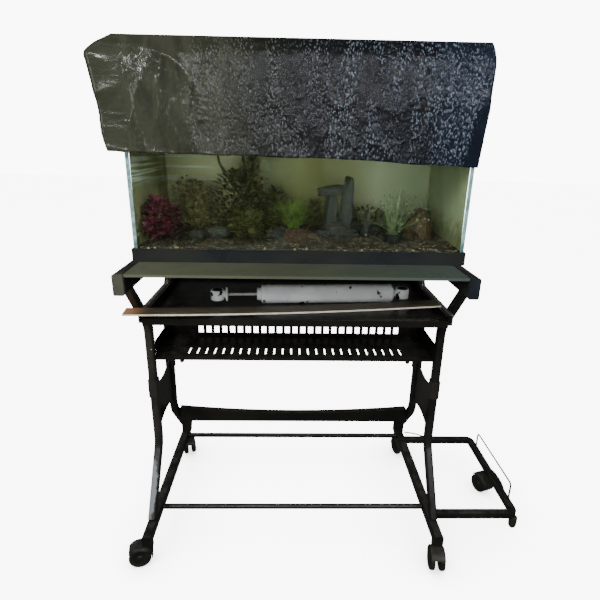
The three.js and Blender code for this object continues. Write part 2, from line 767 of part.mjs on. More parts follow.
/** The tray: a pan with a deeper front lip, its side walls' top edges folded inwards. */
function tray() {
  const floor = TRAY_FLOOR;
  const half = TRAY_HALF;
  const t = SHEET_STEEL;
  const room = half - t;
  const mouth = half - TRAY_HEM;
  const pan = box(-half, half, TRAY_FRONT, TRAY_REAR, TRAY_FOOT, TRAY_WALL_TOP);
  const lip = box(-half, half, TRAY_FRONT, TRAY_FRONT + t, TRAY_LIP_BOTTOM, floor + 2);
  return joined(
    [pan, lip],
    [
      box(-room, room, TRAY_FRONT + t, TRAY_REAR - t, floor, TRAY_WALL_TOP - 1.5),
      box(-mouth, mouth, TRAY_FRONT - 1, TRAY_REAR - t, TRAY_WALL_TOP - 3, TRAY_WALL_TOP + 1),
      box(-room, room, TRAY_FRONT - 1, TRAY_FRONT + t + 1, floor + 2, TRAY_WALL_TOP - 1.5),
      box(-room, room, TRAY_FRONT + t, TRAY_REAR - t, TRAY_FOOT - 1, floor - t),
    ],
  );
}

for (const [label, side] of SIDES) piece("tray_runner_" + label, trayRunner(side), ZINC);
piece("sliding_tray", tray(), BLACK_PAINT);

// ---------------------------------------------------------------- slotted shelf
function slottedShelf() {
  const half = LEG_INSIDE - GAP;
  const top = SHELF_FLOOR;
  const t = SHEET_STEEL;
  const shell = [
    box(-half, half, SHELF_FRONT, SHELF_REAR, top - t, top),
    box(-half, half, SHELF_FRONT, SHELF_FRONT + t, top - SHELF_LIP, top),
    box(-half, half, SHELF_REAR - t, SHELF_REAR, top - t, top + SHELF_WALL),
    ...SIDES.map(([, side]) =>
      sideBox(side, half - t, half, SHELF_FRONT + 6, SHELF_REAR + SHELF_EAR, top - t, top + SHELF_WALL),
    ),
  ];
  const cuts = [];
  for (let i = 0; i < SLOT_COUNT; i++) {
    const x = (i - (SLOT_COUNT - 1) / 2) * SLOT_PITCH;
    const y = SHELF_FRONT + SLOT_SETBACK;
    cuts.push(box(x - SLOT_WIDTH / 2, x + SLOT_WIDTH / 2, y, y + SLOT_LENGTH, top - t - 1, top + 1));
    const hole = x + SLOT_PITCH / 2; // the holes stand half a pitch to the right of the slots
    const z = top + HOLE_LIFT;
    cuts.push(
      box(hole - HOLE_WIDTH / 2, hole + HOLE_WIDTH / 2, SHELF_REAR - t - 1, SHELF_REAR + 1, z, z + HOLE_HEIGHT),
    );
  }
  return joined(shell, cuts);
}
piece("slotted_shelf", slottedShelf(), BLACK_PAINT);

// ---------------------------------------------------------------- damper and slat on the tray
const damper = new THREE.Group();
damper.position.set(DAMPER_BODY_X, DAMPER_BODY_Y, TRAY_FLOOR + GAP + DAMPER_RADIUS);
damper.rotation.z = rad(DAMPER_TURN);
assembly.add(damper);

/** A shape turned about the damper's own axis, which runs along X, from (radius, x) pairs. */
function alongDamper(pairs, sides = 20) {
  return turned(pairs, sides).rotateY(Math.PI / 2);
}

function eye(x) {
  return cylinder(EYE_RADIUS, EYE_HEIGHT, "z", [x, 0, 0], 18);
}

function eyeBore(x) {
  return cylinder(EYE_BORE, EYE_HEIGHT + 4, "z", [x, 0, 0], 12);
}

const NECK_LENGTH = 11;
const NECK_RADIUS = 16;
const CHAMBER_RADIUS = DAMPER_RADIUS - DAMPER_WALL;

function damperBody() {
  const end = DAMPER_LENGTH;
  const neckEnd = end + 10;
  const outside = alongDamper([
    [0, -NECK_LENGTH],
    [NECK_RADIUS - 2, -NECK_LENGTH],
    [NECK_RADIUS, -NECK_LENGTH + 2],
    [NECK_RADIUS, 0],
    [DAMPER_RADIUS - 2, 0],
    [DAMPER_RADIUS, 3],
    [DAMPER_RADIUS, end - 5],
    [DAMPER_RADIUS - 3, end - 1],
    [10, end + 3],
    [8, neckEnd + 4],
    [0, neckEnd + 4],
  ]);
  const chamber = alongDamper([
    [0, 6],
    [CHAMBER_RADIUS, 6],
    [CHAMBER_RADIUS, end - 20],
    [0, end - 20],
  ]);
  const bore = cylinder(ROD_RADIUS + ROD_CLEARANCE, 40, "x", [0, 0, 0], 12);
  const eyeX = neckEnd + EYE_RADIUS;
  return joined([outside, eye(eyeX)], [chamber, bore, eyeBore(eyeX)]);
}

/** The rod, with its eye and stop plate outside and its piston in the body's chamber. */
function damperRod() {
  const plate = -NECK_LENGTH - ROD_SHOWN;
  const rod = alongDamper(
    [
      [0, plate - 12],
      [8, plate - 12],
      [8, plate - 6],
      [STOP_RADIUS, plate - 3],
      [STOP_RADIUS, plate],
      [ROD_RADIUS, plate],
      [ROD_RADIUS, 10],
      [CHAMBER_RADIUS - ROD_CLEARANCE, 10],
      [CHAMBER_RADIUS - ROD_CLEARANCE, 10 + PISTON_LENGTH],
      [0, 10 + PISTON_LENGTH],
    ],
    20,
  );
  const eyeX = plate - 9 - EYE_RADIUS;
  return joined([rod, eye(eyeX)], [eyeBore(eyeX)]);
}
piece("damper_body", damperBody(), WHITE_PAINT, damper);
piece("damper_rod", damperRod(), ROD_STEEL, damper);

/** A thin slat that sags between the tray's side walls. */
function slat() {
  const steps = 12;
  const outline = [];
  const lower = [];
  for (let i = 0; i <= steps; i++) {
    const t = i / steps;
    const sag = -4 * SLAT_SAG * t * (1 - t);
    outline.push(new THREE.Vector2(t * SLAT_LENGTH, sag + SLAT_THICKNESS));
    lower.unshift(new THREE.Vector2(t * SLAT_LENGTH, sag));
  }
  return profileAlong(new THREE.Shape([...outline, ...lower]), SLAT_WIDTH / 2, SLAT_WIDTH);
}
const slatGroup = new THREE.Group();
slatGroup.position.set(SLAT_X, SLAT_Y, TRAY_WALL_TOP + SLAT_LIFT);
slatGroup.rotation.z = rad(SLAT_TURN);
assembly.add(slatGroup);
piece("loose_slat", slat(), SLAT_WOOD, slatGroup);

// ---------------------------------------------------------------- tank
const tank = new THREE.Group();
tank.position.set(TANK_X, TANK_Y, 0);
assembly.add(tank);

/** A frame of angle round the tank's end: a wall outside the glass and a ledge across its edge. */
function tankFrame(bottom, height, ledgeAtTop) {
  const length = TANK_LENGTH / 2;
  const depth = TANK_DEPTH / 2;
  const room = [GLASS_LENGTH / 2 + GAP, GLASS_DEPTH / 2 + GAP];
  const hole = [length - TRIM_LEDGE - TRIM_WALL, depth - TRIM_LEDGE - TRIM_WALL];
  const low = ledgeAtTop ? bottom - 5 : bottom + TRIM_FLOOR;
  const high = ledgeAtTop ? bottom + height - TRIM_FLOOR : bottom + height + 5;
  return joined(
    [box(-length, length, -depth, depth, bottom, bottom + height)],
    [
      box(-room[0], room[0], -room[1], room[1], low, high),
      box(-hole[0], hole[0], -hole[1], hole[1], bottom - 5, bottom + height + 5),
    ],
  );
}
piece("tank_trim", tankFrame(TANK_BOTTOM, TRIM_HEIGHT, false), TRIM_BLACK, tank);
piece("tank_rim", tankFrame(TANK_TOP - RIM_HEIGHT, RIM_HEIGHT, true), TRIM_BLACK, tank);

const PANE_BOTTOM = GLASS_FLOOR + GAP;
const GLASS_HALF = GLASS_LENGTH / 2;
const GLASS_HALF_DEPTH = GLASS_DEPTH / 2;
piece(
  "pane_bottom",
  box(
    -GLASS_HALF,
    GLASS_HALF,
    -GLASS_HALF_DEPTH,
    GLASS_HALF_DEPTH,
    TANK_BOTTOM + TRIM_FLOOR + GAP,
    GLASS_FLOOR,
  ),
  CLEAR_GLASS,
  tank,
);
for (const [label, end] of [
  ["front", -1],
  ["back", 1],
]) {
  const y = end * (GLASS_HALF_DEPTH - GLASS / 2);
  const pane = box(-GLASS_HALF, GLASS_HALF, y - GLASS / 2, y + GLASS / 2, PANE_BOTTOM, GLASS_TOP);
  piece("pane_" + label, pane, CLEAR_GLASS, tank);
}
for (const [label, side] of SIDES) {
  const x = side * (GLASS_HALF - GLASS / 2);
  const reach = GLASS_HALF_DEPTH - GLASS - GAP;
  const pane = box(x - GLASS / 2, x + GLASS / 2, -reach, reach, PANE_BOTTOM, GLASS_TOP);
  piece("pane_" + label, pane, CLEAR_GLASS, tank);
}

/** The hood: a tray turned upside down on the rim. */
function hood() {
  const x = TANK_LENGTH / 2 - HOOD_INSET;
  const y = TANK_DEPTH / 2 - HOOD_INSET;
  const w = HOOD_WALL;
  return joined(
    [box(-x, x, -y, y, HOOD_BOTTOM, HOOD_TOP)],
    [box(w - x, x - w, w - y, y - w, HOOD_BOTTOM - 5, HOOD_TOP - w)],
  );
}
piece("hood", hood(), TRIM_BLACK, tank);

// ---------------------------------------------------------------- sheet over the hood
/** Height of the sheet's lower edge at x, measured from the tank's middle. */
function hemHeight(x) {
  const t = THREE.MathUtils.clamp(x / TANK_LENGTH + 0.5, 0, 1);
  return SHEET_HEM_LEFT + (SHEET_HEM_RIGHT - SHEET_HEM_LEFT) * t ** 2;
}

/** How much the sheet's lower part is drawn in to the glass: 1 at the hem, 0 from halfway up. */
function tuckAt(level) {
  return Math.max(0, 1 - level / 0.5);
}

/** One ring round the hood at a level: 0 at the hem, 1 at the top edge, below 0 under the hem. */
function sheetRing(level, inset) {
  const x = TANK_LENGTH / 2 - HOOD_INSET + GAP + SHEET - inset;
  const y = TANK_DEPTH / 2 - HOOD_INSET + GAP + SHEET - inset;
  const up = THREE.MathUtils.clamp(level, 0, 1);
  const out = Math.sin((Math.PI / 2) * Math.min(1, (1 - up) * 5)); // it stands clear soon after the edge
  const tuck = tuckAt(up);
  const ring = [];
  const perSide = 8;
  const corners = [
    [-x, -y],
    [x, -y],
    [x, y],
    [-x, y],
  ];
  corners.forEach(([ax, ay], k) => {
    const [bx, by] = corners[(k + 1) % 4];
    for (let i = 0; i < perSide; i++) {
      const px = ax + ((bx - ax) * i) / perSide;
      const py = ay + ((by - ay) * i) / perSide;
      const flare = SHEET_FLARE * (0.3 + 0.7 * Math.min(1, up / 0.84)) * Math.max(0, -py / y);
      const drawnIn = (SHEET_FRONT_STAND - SHEET_TUCKED) * tuck * THREE.MathUtils.smoothstep(px / x, 0, 1);
      const left = px <= -x + 1 ? SHEET_LEFT_STAND + flare : 0;
      const right = px >= x - 1 ? SHEET_RIGHT_STAND + (SHEET_TUCKED - SHEET_RIGHT_STAND) * tuck : 0;
      const front = py <= -y + 1 ? SHEET_FRONT_STAND - drawnIn : 0;
      const back = py >= y - 1 ? SHEET_BACK_STAND : 0;
      const hem = hemHeight(px);
      const height = hem + (SHEET_TOP - hem) * level - (level === 1 ? inset : 0);
      ring.push(new THREE.Vector3(px + out * (right - left), py + out * (back - front), height));
    }
  });
  return ring;
}

function coverSheet() {
  const levels = [0, 0.25, 0.5, 0.7, 0.84, 0.93, 1];
  const outer = solid(skinned(levels.map((level) => sheetRing(level, 0))));
  const inner = solid(skinned([-0.12, ...levels].map((level) => sheetRing(level, SHEET))));
  return geometryOf(outer.subtract(inner));
}
piece("cover_sheet", coverSheet(), SHEET_BLACK, tank);

// ---------------------------------------------------------------- gravel and decoration in the tank
const INSIDE_X = GLASS_HALF - GLASS - 1;
const INSIDE_Y = GLASS_HALF_DEPTH - GLASS - 1;
const BED = GLASS_FLOOR + GAP;

/** Height of the gravel at a place in the tank: it rises to the back, with a mound left of the middle. */
function gravelTop(x, y) {
  const t = (y + INSIDE_Y) / (2 * INSIDE_Y);
  const mound = 26 * Math.exp(-(((x + 14) / 62) ** 2) - ((y + 40) / 55) ** 2);
  return BED + GRAVEL_FRONT + (GRAVEL_BACK - GRAVEL_FRONT) * t + mound;
}

/** The gravel bed, less the room that a list of standing pieces takes, each with a little clearance. */
function gravelBed(standing) {
  const across = 20;
  const along = 10;
  const at = (i, k) => [
    -INSIDE_X + (2 * INSIDE_X * i) / across,
    -INSIDE_Y + (2 * INSIDE_Y * k) / along,
  ];
  const positions = [];
  for (let k = 0; k <= along; k++) {
    for (let i = 0; i <= across; i++) positions.push(...at(i, k), gravelTop(...at(i, k)));
  }
  const index = [];
  const row = across + 1;
  for (let k = 0; k < along; k++) {
    for (let i = 0; i < across; i++) {
      const a = k * row + i;
      index.push(a, a + 1, a + row + 1, a, a + row + 1, a + row);
    }
  }
  const edge = [];
  for (let i = 0; i < across; i++) edge.push(i);
  for (let k = 0; k < along; k++) edge.push(k * row + across);
  for (let i = across; i > 0; i--) edge.push(along * row + i);
  for (let k = along; k > 0; k--) edge.push(k * row);
  const below = positions.length / 3;
  for (const e of edge) positions.push(positions[3 * e], positions[3 * e + 1], BED);
  positions.push(0, 0, BED);
  const centre = positions.length / 3 - 1;
  edge.forEach((e, i) => {
    const next = (i + 1) % edge.length;
    index.push(e, below + i, below + next, e, below + next, edge[next]);
    index.push(centre, below + next, below + i);
  });
  const bed = new THREE.BufferGeometry();
  bed.setAttribute("position", new THREE.Float32BufferAttribute(positions, 3));
  bed.setIndex(index);
  let made = solid(bed);
  for (const geometry of standing) made = made.subtract(solid(geometry));
  return geometryOf(made);
}

/** A rough block: a box whose upper end is turned and narrowed. */
function rock(width, depth, height, taper, twist) {
  const rings = [];
  const levels = [0, 0.5, 1];
  for (const level of levels) {
    const ring = [];
    for (let i = 0; i < 7; i++) {
      const a = (2 * Math.PI * i) / 7 + twist * level;
      const r = (1 - taper * level) * (1 + 0.12 * Math.sin(3 * a + 5 * level));
      ring.push(new THREE.Vector3((r * width * Math.cos(a)) / 2, (r * depth * Math.sin(a)) / 2, level * height));
    }
    rings.push(ring);
  }
  return skinned(rings);
}

/** Rocks stacked as an arch: a low column, a tall one and a lintel between them. */
function rockArch() {
  const base = BED + 6;
  return joined([
    rock(92, 56, 34, 0.3, 0.3).translate(32, 0, base),
    rock(34, 34, 120, 0.2, 0.5).translate(8, 0, base),
    rock(36, 34, 162, 0.2, -0.4).translate(52, 0, base),
    rock(24, 30, 66, 0.1, 0.3).rotateY(rad(86)).translate(-22, 0, base + 128),
  ]);
}

/** A leafy clump: a turned shape that widens from its root to its crown. */
function clump(radius, height, root) {
  const pairs = [
    [0, 0],
    [root, 0],
    [radius * 0.7, height * 0.45],
    [radius, height * 0.8],
    [radius * 0.6, height],
    [0, height],
  ];
  return turned(pairs, 10);
}

function driftwood() {
  const branch = (points, diameter) =>
    swept(
      roundSection(diameter, 7),
      points.map(([x, y, z]) => new THREE.Vector3(x, y, z)),
    );
  return joined([
    branch([[60, 0, 0], [30, 4, 40], [-2, 6, 84], [-34, 2, 128], [-48, -6, 150]], 15),
    branch([[-6, 5, 90], [8, 14, 130], [4, 18, 180], [18, 14, 214]], 10),
    branch([[-70, 0, 4], [-40, 6, 36], [-20, 8, 66], [-4, 5, 88]], 11),
  ]);
}

/** A plant in a round pot: thin stems that fan out from the soil, here one flared shape. */
function pot() {
  return turned(
    [
      [0, 0],
      [19, 0],
      [24, POT_HEIGHT],
      [0, POT_HEIGHT],
    ],
    16,
  );
}

/** Places in the tank, as [x, y, z] from the tank's middle and the floor of the trolley. */
// The contents' places along the tank keep to its length.
const PLANNED_LENGTH = 753.4; // of glass, which the places below were chosen for
const alongTank = (x) => (x * GLASS_LENGTH) / PLANNED_LENGTH;
const ARCH_AT = [alongTank(68), 0, 0];
const POINTED_AT = [alongTank(171), -10, BED + 8];
const SHELL_AT = [alongTank(306), -8, BED + 2];
const POT_HEIGHT = 38;
const POT_AT = [alongTank(230), -60, BED + 4];
const STEMS_AT = [alongTank(230), -60, POT_AT[2] + POT_HEIGHT + GAP];
const GRASS_AT = [alongTank(-14), -36, gravelTop(alongTank(-14), -36) + 1];
const LEAFY_AT = [-122, -92, gravelTop(-122, -92) + 4];
const RED_X = 36.4 - INSIDE_X; // it stands in the left corner
const RED_AT = [RED_X, -100, gravelTop(RED_X, -100) + 2];
const WOOD_AT = [-150, 46, gravelTop(-150, 46) + 8];
const STONE_AT = [-137, 100, gravelTop(-137, 100) + 8];

const archShape = rockArch().translate(...ARCH_AT);
const pointedShape = rock(24, 22, 88, 0.66, 0.5).translate(...POINTED_AT);
const shellShape = turned(
  [
    [0, 0],
    [34, 0],
    [36.5, 30],
    [34, 62],
    [23, 85],
    [0, 96],
  ],
  16,
).translate(...SHELL_AT);
const potShape = pot().translate(...POT_AT);

/** The room a standing piece takes in the gravel: its own shape, a little wider, and drawn out upwards
 *  from just under its foot, so that a piece that narrows towards its top stays clear all the way. */
function roomFor(geometry) {
  geometry.computeBoundingBox();
  const { min } = geometry.boundingBox;
  const middle = geometry.boundingBox.getCenter(new THREE.Vector3());
  const size = geometry.boundingBox.getSize(new THREE.Vector3());
  const grow = (length) => (length + 3) / length;
  const grown = geometry.clone().translate(-middle.x, -middle.y, -min.z);
  return grown.scale(grow(size.x), grow(size.y), 1.15).translate(middle.x, middle.y, min.z - 0.5);
}

const standing = [archShape, pointedShape, shellShape, potShape].map(roomFor);
piece("gravel_bed", gravelBed(standing), GRAVEL, tank);
piece("rock_arch", archShape, ROCK, tank);
piece("pointed_stone", pointedShape, ROCK, tank);
piece("shell_cave", shellShape, SHELL_BROWN, tank);
piece("plant_pot", potShape, TRIM_BLACK, tank);
piece("stem_plant", clump(50, 84, 8).translate(...STEMS_AT), LEAF_PALE, tank);
piece("grass_plant", clump(64, 82, 8).translate(...GRASS_AT), LEAF_GREEN, tank);
piece("leafy_plant", clump(40, 70, 8).translate(...LEAFY_AT), LEAF_OLIVE, tank);
piece("red_plant", clump(34, 106, 10).translate(...RED_AT), LEAF_RED, tank);
piece("driftwood", driftwood().translate(...WOOD_AT), WOOD_DARK, tank);

// ---------------------------------------------------------------- airline
// From the rim at the back, down through the water and into the porous stone on the gravel.
const AIRLINE_ROUTE = [
  [-112, 133, 1154],
  [-112, 126, 1150],
  [-112, 119, 1138],
  [-113, 113, 1120],
  [-115, 109, 1096],
  [-119, 106, 1068],
  [-123, 104, 1040],
  [-126, 103, 1012],
  [-127, 102, 984],
  [-130, 101, 956],
  [-134, 101, 928],
  [-137, 100, 900],
  [-137, 100, 874],
  [-137, 100, STONE_AT[2] + 22 + GAP],
].map(([x, y, z]) => new THREE.Vector3(x, y, z));
piece("airline", swept(roundSection(AIRLINE_DIAMETER), AIRLINE_ROUTE), HOSE_DARK, tank);
piece("air_stone", cylinder(9, 22, "z", [STONE_AT[0], STONE_AT[1], STONE_AT[2] + 11], 12), STONE_BLUE, tank);

// ---------------------------------------------------------------- origin
const aquariumOnStand = new THREE.Group();
aquariumOnStand.add(assembly);
aquariumOnStand.updateMatrixWorld(true);
const extent = new THREE.Box3();
assembly.traverse((mesh) => {
  if (mesh.isMesh) extent.expandByObject(mesh, true);
});
const middle = extent.getCenter(new THREE.Vector3());
assembly.position.set(-middle.x, -middle.y, -extent.min.z);

export default aquariumOnStand;
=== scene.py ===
# %% [markdown]
# # Aquarium on a wheeled trolley
# The trolley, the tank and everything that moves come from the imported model, which is loaded here as a
# fixed frame in metres. This script gives each visible surface its finish, and makes anew the pieces
# whose real shape is finer than the model's: the plastic sheet, plants, gravel, rocks, tubes and castors.

import json
import math

import bpy
import numpy as np
from mathutils import Matrix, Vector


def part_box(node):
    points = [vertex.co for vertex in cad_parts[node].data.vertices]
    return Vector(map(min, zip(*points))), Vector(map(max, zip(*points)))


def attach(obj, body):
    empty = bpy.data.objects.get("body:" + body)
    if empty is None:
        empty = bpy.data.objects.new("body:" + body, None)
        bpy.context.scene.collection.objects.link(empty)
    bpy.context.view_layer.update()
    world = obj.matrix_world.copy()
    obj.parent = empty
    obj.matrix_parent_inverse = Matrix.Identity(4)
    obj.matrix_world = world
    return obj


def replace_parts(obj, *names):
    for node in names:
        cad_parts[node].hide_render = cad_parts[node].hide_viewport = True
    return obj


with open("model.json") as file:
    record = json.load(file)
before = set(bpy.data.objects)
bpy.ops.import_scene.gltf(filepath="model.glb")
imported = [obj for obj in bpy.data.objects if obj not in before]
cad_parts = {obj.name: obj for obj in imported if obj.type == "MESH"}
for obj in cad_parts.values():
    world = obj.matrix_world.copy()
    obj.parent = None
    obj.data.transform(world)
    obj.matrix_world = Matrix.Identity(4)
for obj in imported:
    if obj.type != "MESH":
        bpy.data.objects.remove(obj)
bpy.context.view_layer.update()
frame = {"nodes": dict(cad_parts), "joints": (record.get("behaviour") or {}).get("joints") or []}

# %% [markdown]
# ## Where things are
# The model's origin is under the middle of everything, holder included. The trolley's own middle is
# found from its top rails, so the numbers below can be read as distances from the trolley's middle.


# %% Trolley and tank middles
def corners(node):
    """Lowest and highest corner of a model node, as arrays."""
    low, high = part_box(node)
    return np.array(low), np.array(high)


MID = np.array(
    [
        (corners("top_rail_left")[0][0] + corners("top_rail_right")[1][0]) / 2,
        (corners("top_rail_left")[0][1] + corners("top_rail_left")[1][1]) / 2,
        0.0,
    ]
)
TANK = (corners("tank_trim")[0] + corners("tank_trim")[1]) / 2 * [1, 1, 0]
print("trolley middle", MID, "tank middle", TANK)

# %% [markdown]
# ## Camera
# A plain long view from the front, a little above the tank, looking down. The camera is set up from
# three turns, so that the view stays level with the object's own axes and no lens shift is needed.


# %% Camera
def camera_at(place, yaw, pitch, roll, focal):
    """A camera at a place, turned right by yaw, down by pitch and round its line of sight by roll."""
    ahead = np.array(
        [math.sin(yaw) * math.cos(pitch), math.cos(yaw) * math.cos(pitch), -math.sin(pitch)]
    )
    right = np.array([math.cos(yaw), -math.sin(yaw), 0.0])
    up = np.cross(right, ahead)
    right, up = (
        math.cos(roll) * right + math.sin(roll) * up,
        math.cos(roll) * up - math.sin(roll) * right,
    )
    data = bpy.data.cameras.new("camera")
    data.sensor_width = 36
    data.lens = focal
    data.clip_start = 0.05
    made = bpy.data.objects.new("camera", data)
    bpy.context.scene.collection.objects.link(made)
    turn = np.eye(4)
    turn[:3, 0], turn[:3, 1], turn[:3, 2], turn[:3, 3] = right, up, -ahead, place
    made.matrix_world = Matrix(turn.tolist())
    return made


camera = camera_at(MID + [-0.017707, -1.174804, 1.040157], 0.0246156, 0.3260198, 0.0183048, 27.5644)
bpy.context.scene.camera = camera
print("camera at", list(camera.location))

# %% [markdown]
# ## Mesh helpers
# Every new piece is a surface worked out with numpy: a grid of points whose rows and columns follow two
# parameters. These helpers join grids into one mesh, with smooth shading and an optional map.


# %% Grids and pieces
def grid_quads(rows, columns, wrap_columns=False, start=0):
    """Quads of a grid of points stored row by row; a wrapped grid joins its last column to its first."""
    spans = columns if wrap_columns else columns - 1
    r, c = np.meshgrid(np.arange(rows - 1), np.arange(spans), indexing="ij")
    a = r * columns + c
    b = r * columns + (c + 1) % columns
    return np.stack([a, b, b + columns, a + columns], -1).reshape(-1, 4) + start


def fan(ring, middle, flip=False):
    """Triangles from a closed ring of point numbers to a middle point."""
    ring = np.asarray(ring)
    after = np.roll(ring, -1)
    order = (after, ring) if flip else (ring, after)
    return np.stack([np.full(len(ring), middle), *order], -1)


def build(name, parts, finish, body="frame", smooth=True, uv=None, tone=None):
    """One mesh object from (points, quads, triangles) parts, riding on a body."""
    points, faces, base = [], [], 0
    for part in parts:
        points.append(part[0])
        for cells in part[1:]:
            if cells is not None and len(cells):
                faces += (np.asarray(cells) + base).tolist()
        base += len(part[0])
    mesh = bpy.data.meshes.new(name)
    mesh.from_pydata(np.concatenate(points).tolist(), [], faces)
    if uv is not None:
        layer = mesh.uv_layers.new(name="cut")
        loops = np.empty(len(mesh.loops), int)
        mesh.loops.foreach_get("vertex_index", loops)
        layer.uv.foreach_set("vector", uv[loops].ravel())
    if tone is not None:
        layer = mesh.attributes.new("tone", "FLOAT", "POINT")
        layer.data.foreach_set("value", np.asarray(tone, float))
    mesh.polygons.foreach_set("use_smooth", np.full(len(mesh.polygons), smooth))
    mesh.materials.append(finish)
    mesh.update()
    made = bpy.data.objects.new(name, mesh)
    bpy.context.scene.collection.objects.link(made)
    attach(made, body)
    print(f"{name}: {len(mesh.vertices)} points, {len(mesh.polygons)} faces")
    return made


def crisp(piece, degrees=35):
    """Keeps edges sharper than an angle crisp on a smooth piece."""
    piece.data.set_sharp_from_angle(angle=math.radians(degrees))
    return piece


# %% Sweeps and turned shapes
def frames_along(path, side):
    """Unit tangent and two unit normals at each point of a path, the first normal kept near `side`."""
    tangent = np.gradient(path, axis=0)
    tangent /= np.linalg.norm(tangent, axis=1, keepdims=True)
    first = np.asarray(side, float) - tangent * (tangent @ np.asarray(side, float))[:, None]
    first /= np.linalg.norm(first, axis=1, keepdims=True)
    return tangent, first, np.cross(tangent, first)


def sweep(path, outline, side=(1, 0, 0), scale=None, closed=False):
    """A closed outline of (a, b) pairs carried along a path, a along the side normal; flat caps."""
    path = np.asarray(path, float)
    _, first, second = frames_along(path, side)
    scale = np.ones(len(path)) if scale is None else np.asarray(scale)
    ring = path[:, None] + scale[:, None, None] * (
        outline[None, :, :1] * first[:, None] + outline[None, :, 1:] * second[:, None]
    )
    rows, columns = ring.shape[:2]
    points = np.concatenate([ring.reshape(-1, 3), path[:1], path[-1:]])
    quads = grid_quads(rows, columns, True)
    last = (rows - 1) * columns + np.arange(columns)
    ends = [fan(np.arange(columns), rows * columns, True), fan(last, rows * columns + 1)]
    return points, quads, np.concatenate(ends)


def circle(radius, sides=16):
    """A round outline of (a, b) pairs."""
    a = 2 * np.pi * np.arange(sides) / sides
    return radius * np.stack([np.cos(a), np.sin(a)], -1)


def rounded(width, height, radius, steps=5):
    """A rectangular outline with quarter circles at its corners."""
    a = np.linspace(0, np.pi / 2, steps)
    arc = radius * np.stack([np.cos(a), np.sin(a)], -1)
    w, h = width / 2 - radius, height / 2 - radius
    turned = [arc, arc[:, ::-1] * [-1, 1], -arc, arc[:, ::-1] * [1, -1]]
    offsets = [(w, h), (-w, h), (-w, -h), (w, -h)]
    return np.concatenate([quarter + offset for quarter, offset in zip(turned, offsets)])


def turned_shape(profile, axis="z", centre=(0, 0, 0), sides=48, start=0.0, sweep_angle=2 * np.pi):
    """A profile of (radius, distance) pairs carried round an axis, closed where the radius is zero."""
    profile = np.asarray(profile, float)
    a = start + sweep_angle * np.arange(sides) / sides
    r, h = profile[:, :1], profile[:, 1:]
    points = np.stack([r * np.cos(a), r * np.sin(a), h + 0 * a], -1).reshape(-1, 3)
    if axis == "x":
        points = points[:, [2, 0, 1]]
    return points + np.asarray(centre), grid_quads(len(profile), sides, True)


def turn_about_z(points, degrees, centre=(0, 0, 0)):
    """Points turned about a vertical line."""
    a = math.radians(degrees)
    matrix = np.array([[math.cos(a), -math.sin(a), 0], [math.sin(a), math.cos(a), 0], [0, 0, 1]])
    return (points - np.asarray(centre)) @ matrix.T + np.asarray(centre)


def ripple(x, z, wave, seed, count=7):
    """Smooth random relief from -1 to 1: a sum of plane waves near one wavelength, in random directions."""
    rng = np.random.default_rng(seed)
    total = np.zeros(np.broadcast(x, z).shape)
    for angle, phase, stretch in zip(
        rng.uniform(0, np.pi, count), rng.uniform(0, 2 * np.pi, count), rng.uniform(0.7, 1.4, count)
    ):
        k = 2 * np.pi / (wave * stretch)
        total += np.sin(k * (x * math.cos(angle) + z * math.sin(angle)) + phase)
    return total / (1.5 * math.sqrt(count))


def smooth_step(x, low, high):
    """0 below low, 1 above high, with no kink between."""
    t = np.clip((x - low) / (high - low), 0, 1)
    return t * t * (3 - 2 * t)


# %% [markdown]
# ## Airline
# A soft air hose hangs from the rim at the back, down through the water, and ends in the porous stone.
# It is thin and short, so it hangs nearly straight, with one slow bend where the water pushes it.

# %% Airline route
AIRLINE_DIAMETER = 0.005
route = np.array(
    [
        [-112, 133, 1154], [-112, 126, 1150], [-112, 119, 1138], [-113, 113, 1120], [-115, 109, 1096],
        [-119, 106, 1068], [-123, 104, 1040], [-126, 103, 1012], [-127, 102, 984], [-130, 101, 956],
        [-134, 101, 928], [-137, 100, 900], [-137, 100, 874],
    ],
    float,
) / 1000 + TANK
route = np.concatenate([route, [[route[-1][0], route[-1][1], corners("air_stone")[1][2] + 0.0003]]])


def spline_through(knots, count):
    """A smooth path through knots: cubic interpolation on distance, from the finite differences."""
    knots = np.asarray(knots, float)
    s = np.r_[0, np.cumsum(np.linalg.norm(np.diff(knots, axis=0), axis=1))]
    slope = np.gradient(knots, s, axis=0)
    t = np.linspace(0, s[-1], count)
    i = np.clip(np.searchsorted(s, t, side="right") - 1, 0, len(s) - 2)
    h = (s[i + 1] - s[i])[:, None]
    u = (t - s[i])[:, None] / h
    return (
        (2 * u**3 - 3 * u**2 + 1) * knots[i]
        + (u**3 - 2 * u**2 + u) * h * slope[i]
        + (3 * u**2 - 2 * u**3) * knots[i + 1]
        + (u**3 - u**2) * h * slope[i + 1]
    )


airline_path = spline_through(route, 48)

# %% [markdown]
# ## Finishes
# Effects that several finishes share are node groups: mottling with chips, dust that lies on upward
# faces, and a soft patch at a place. Each finish uses them with its own values, and its plain numbers
# stay on the shader itself.


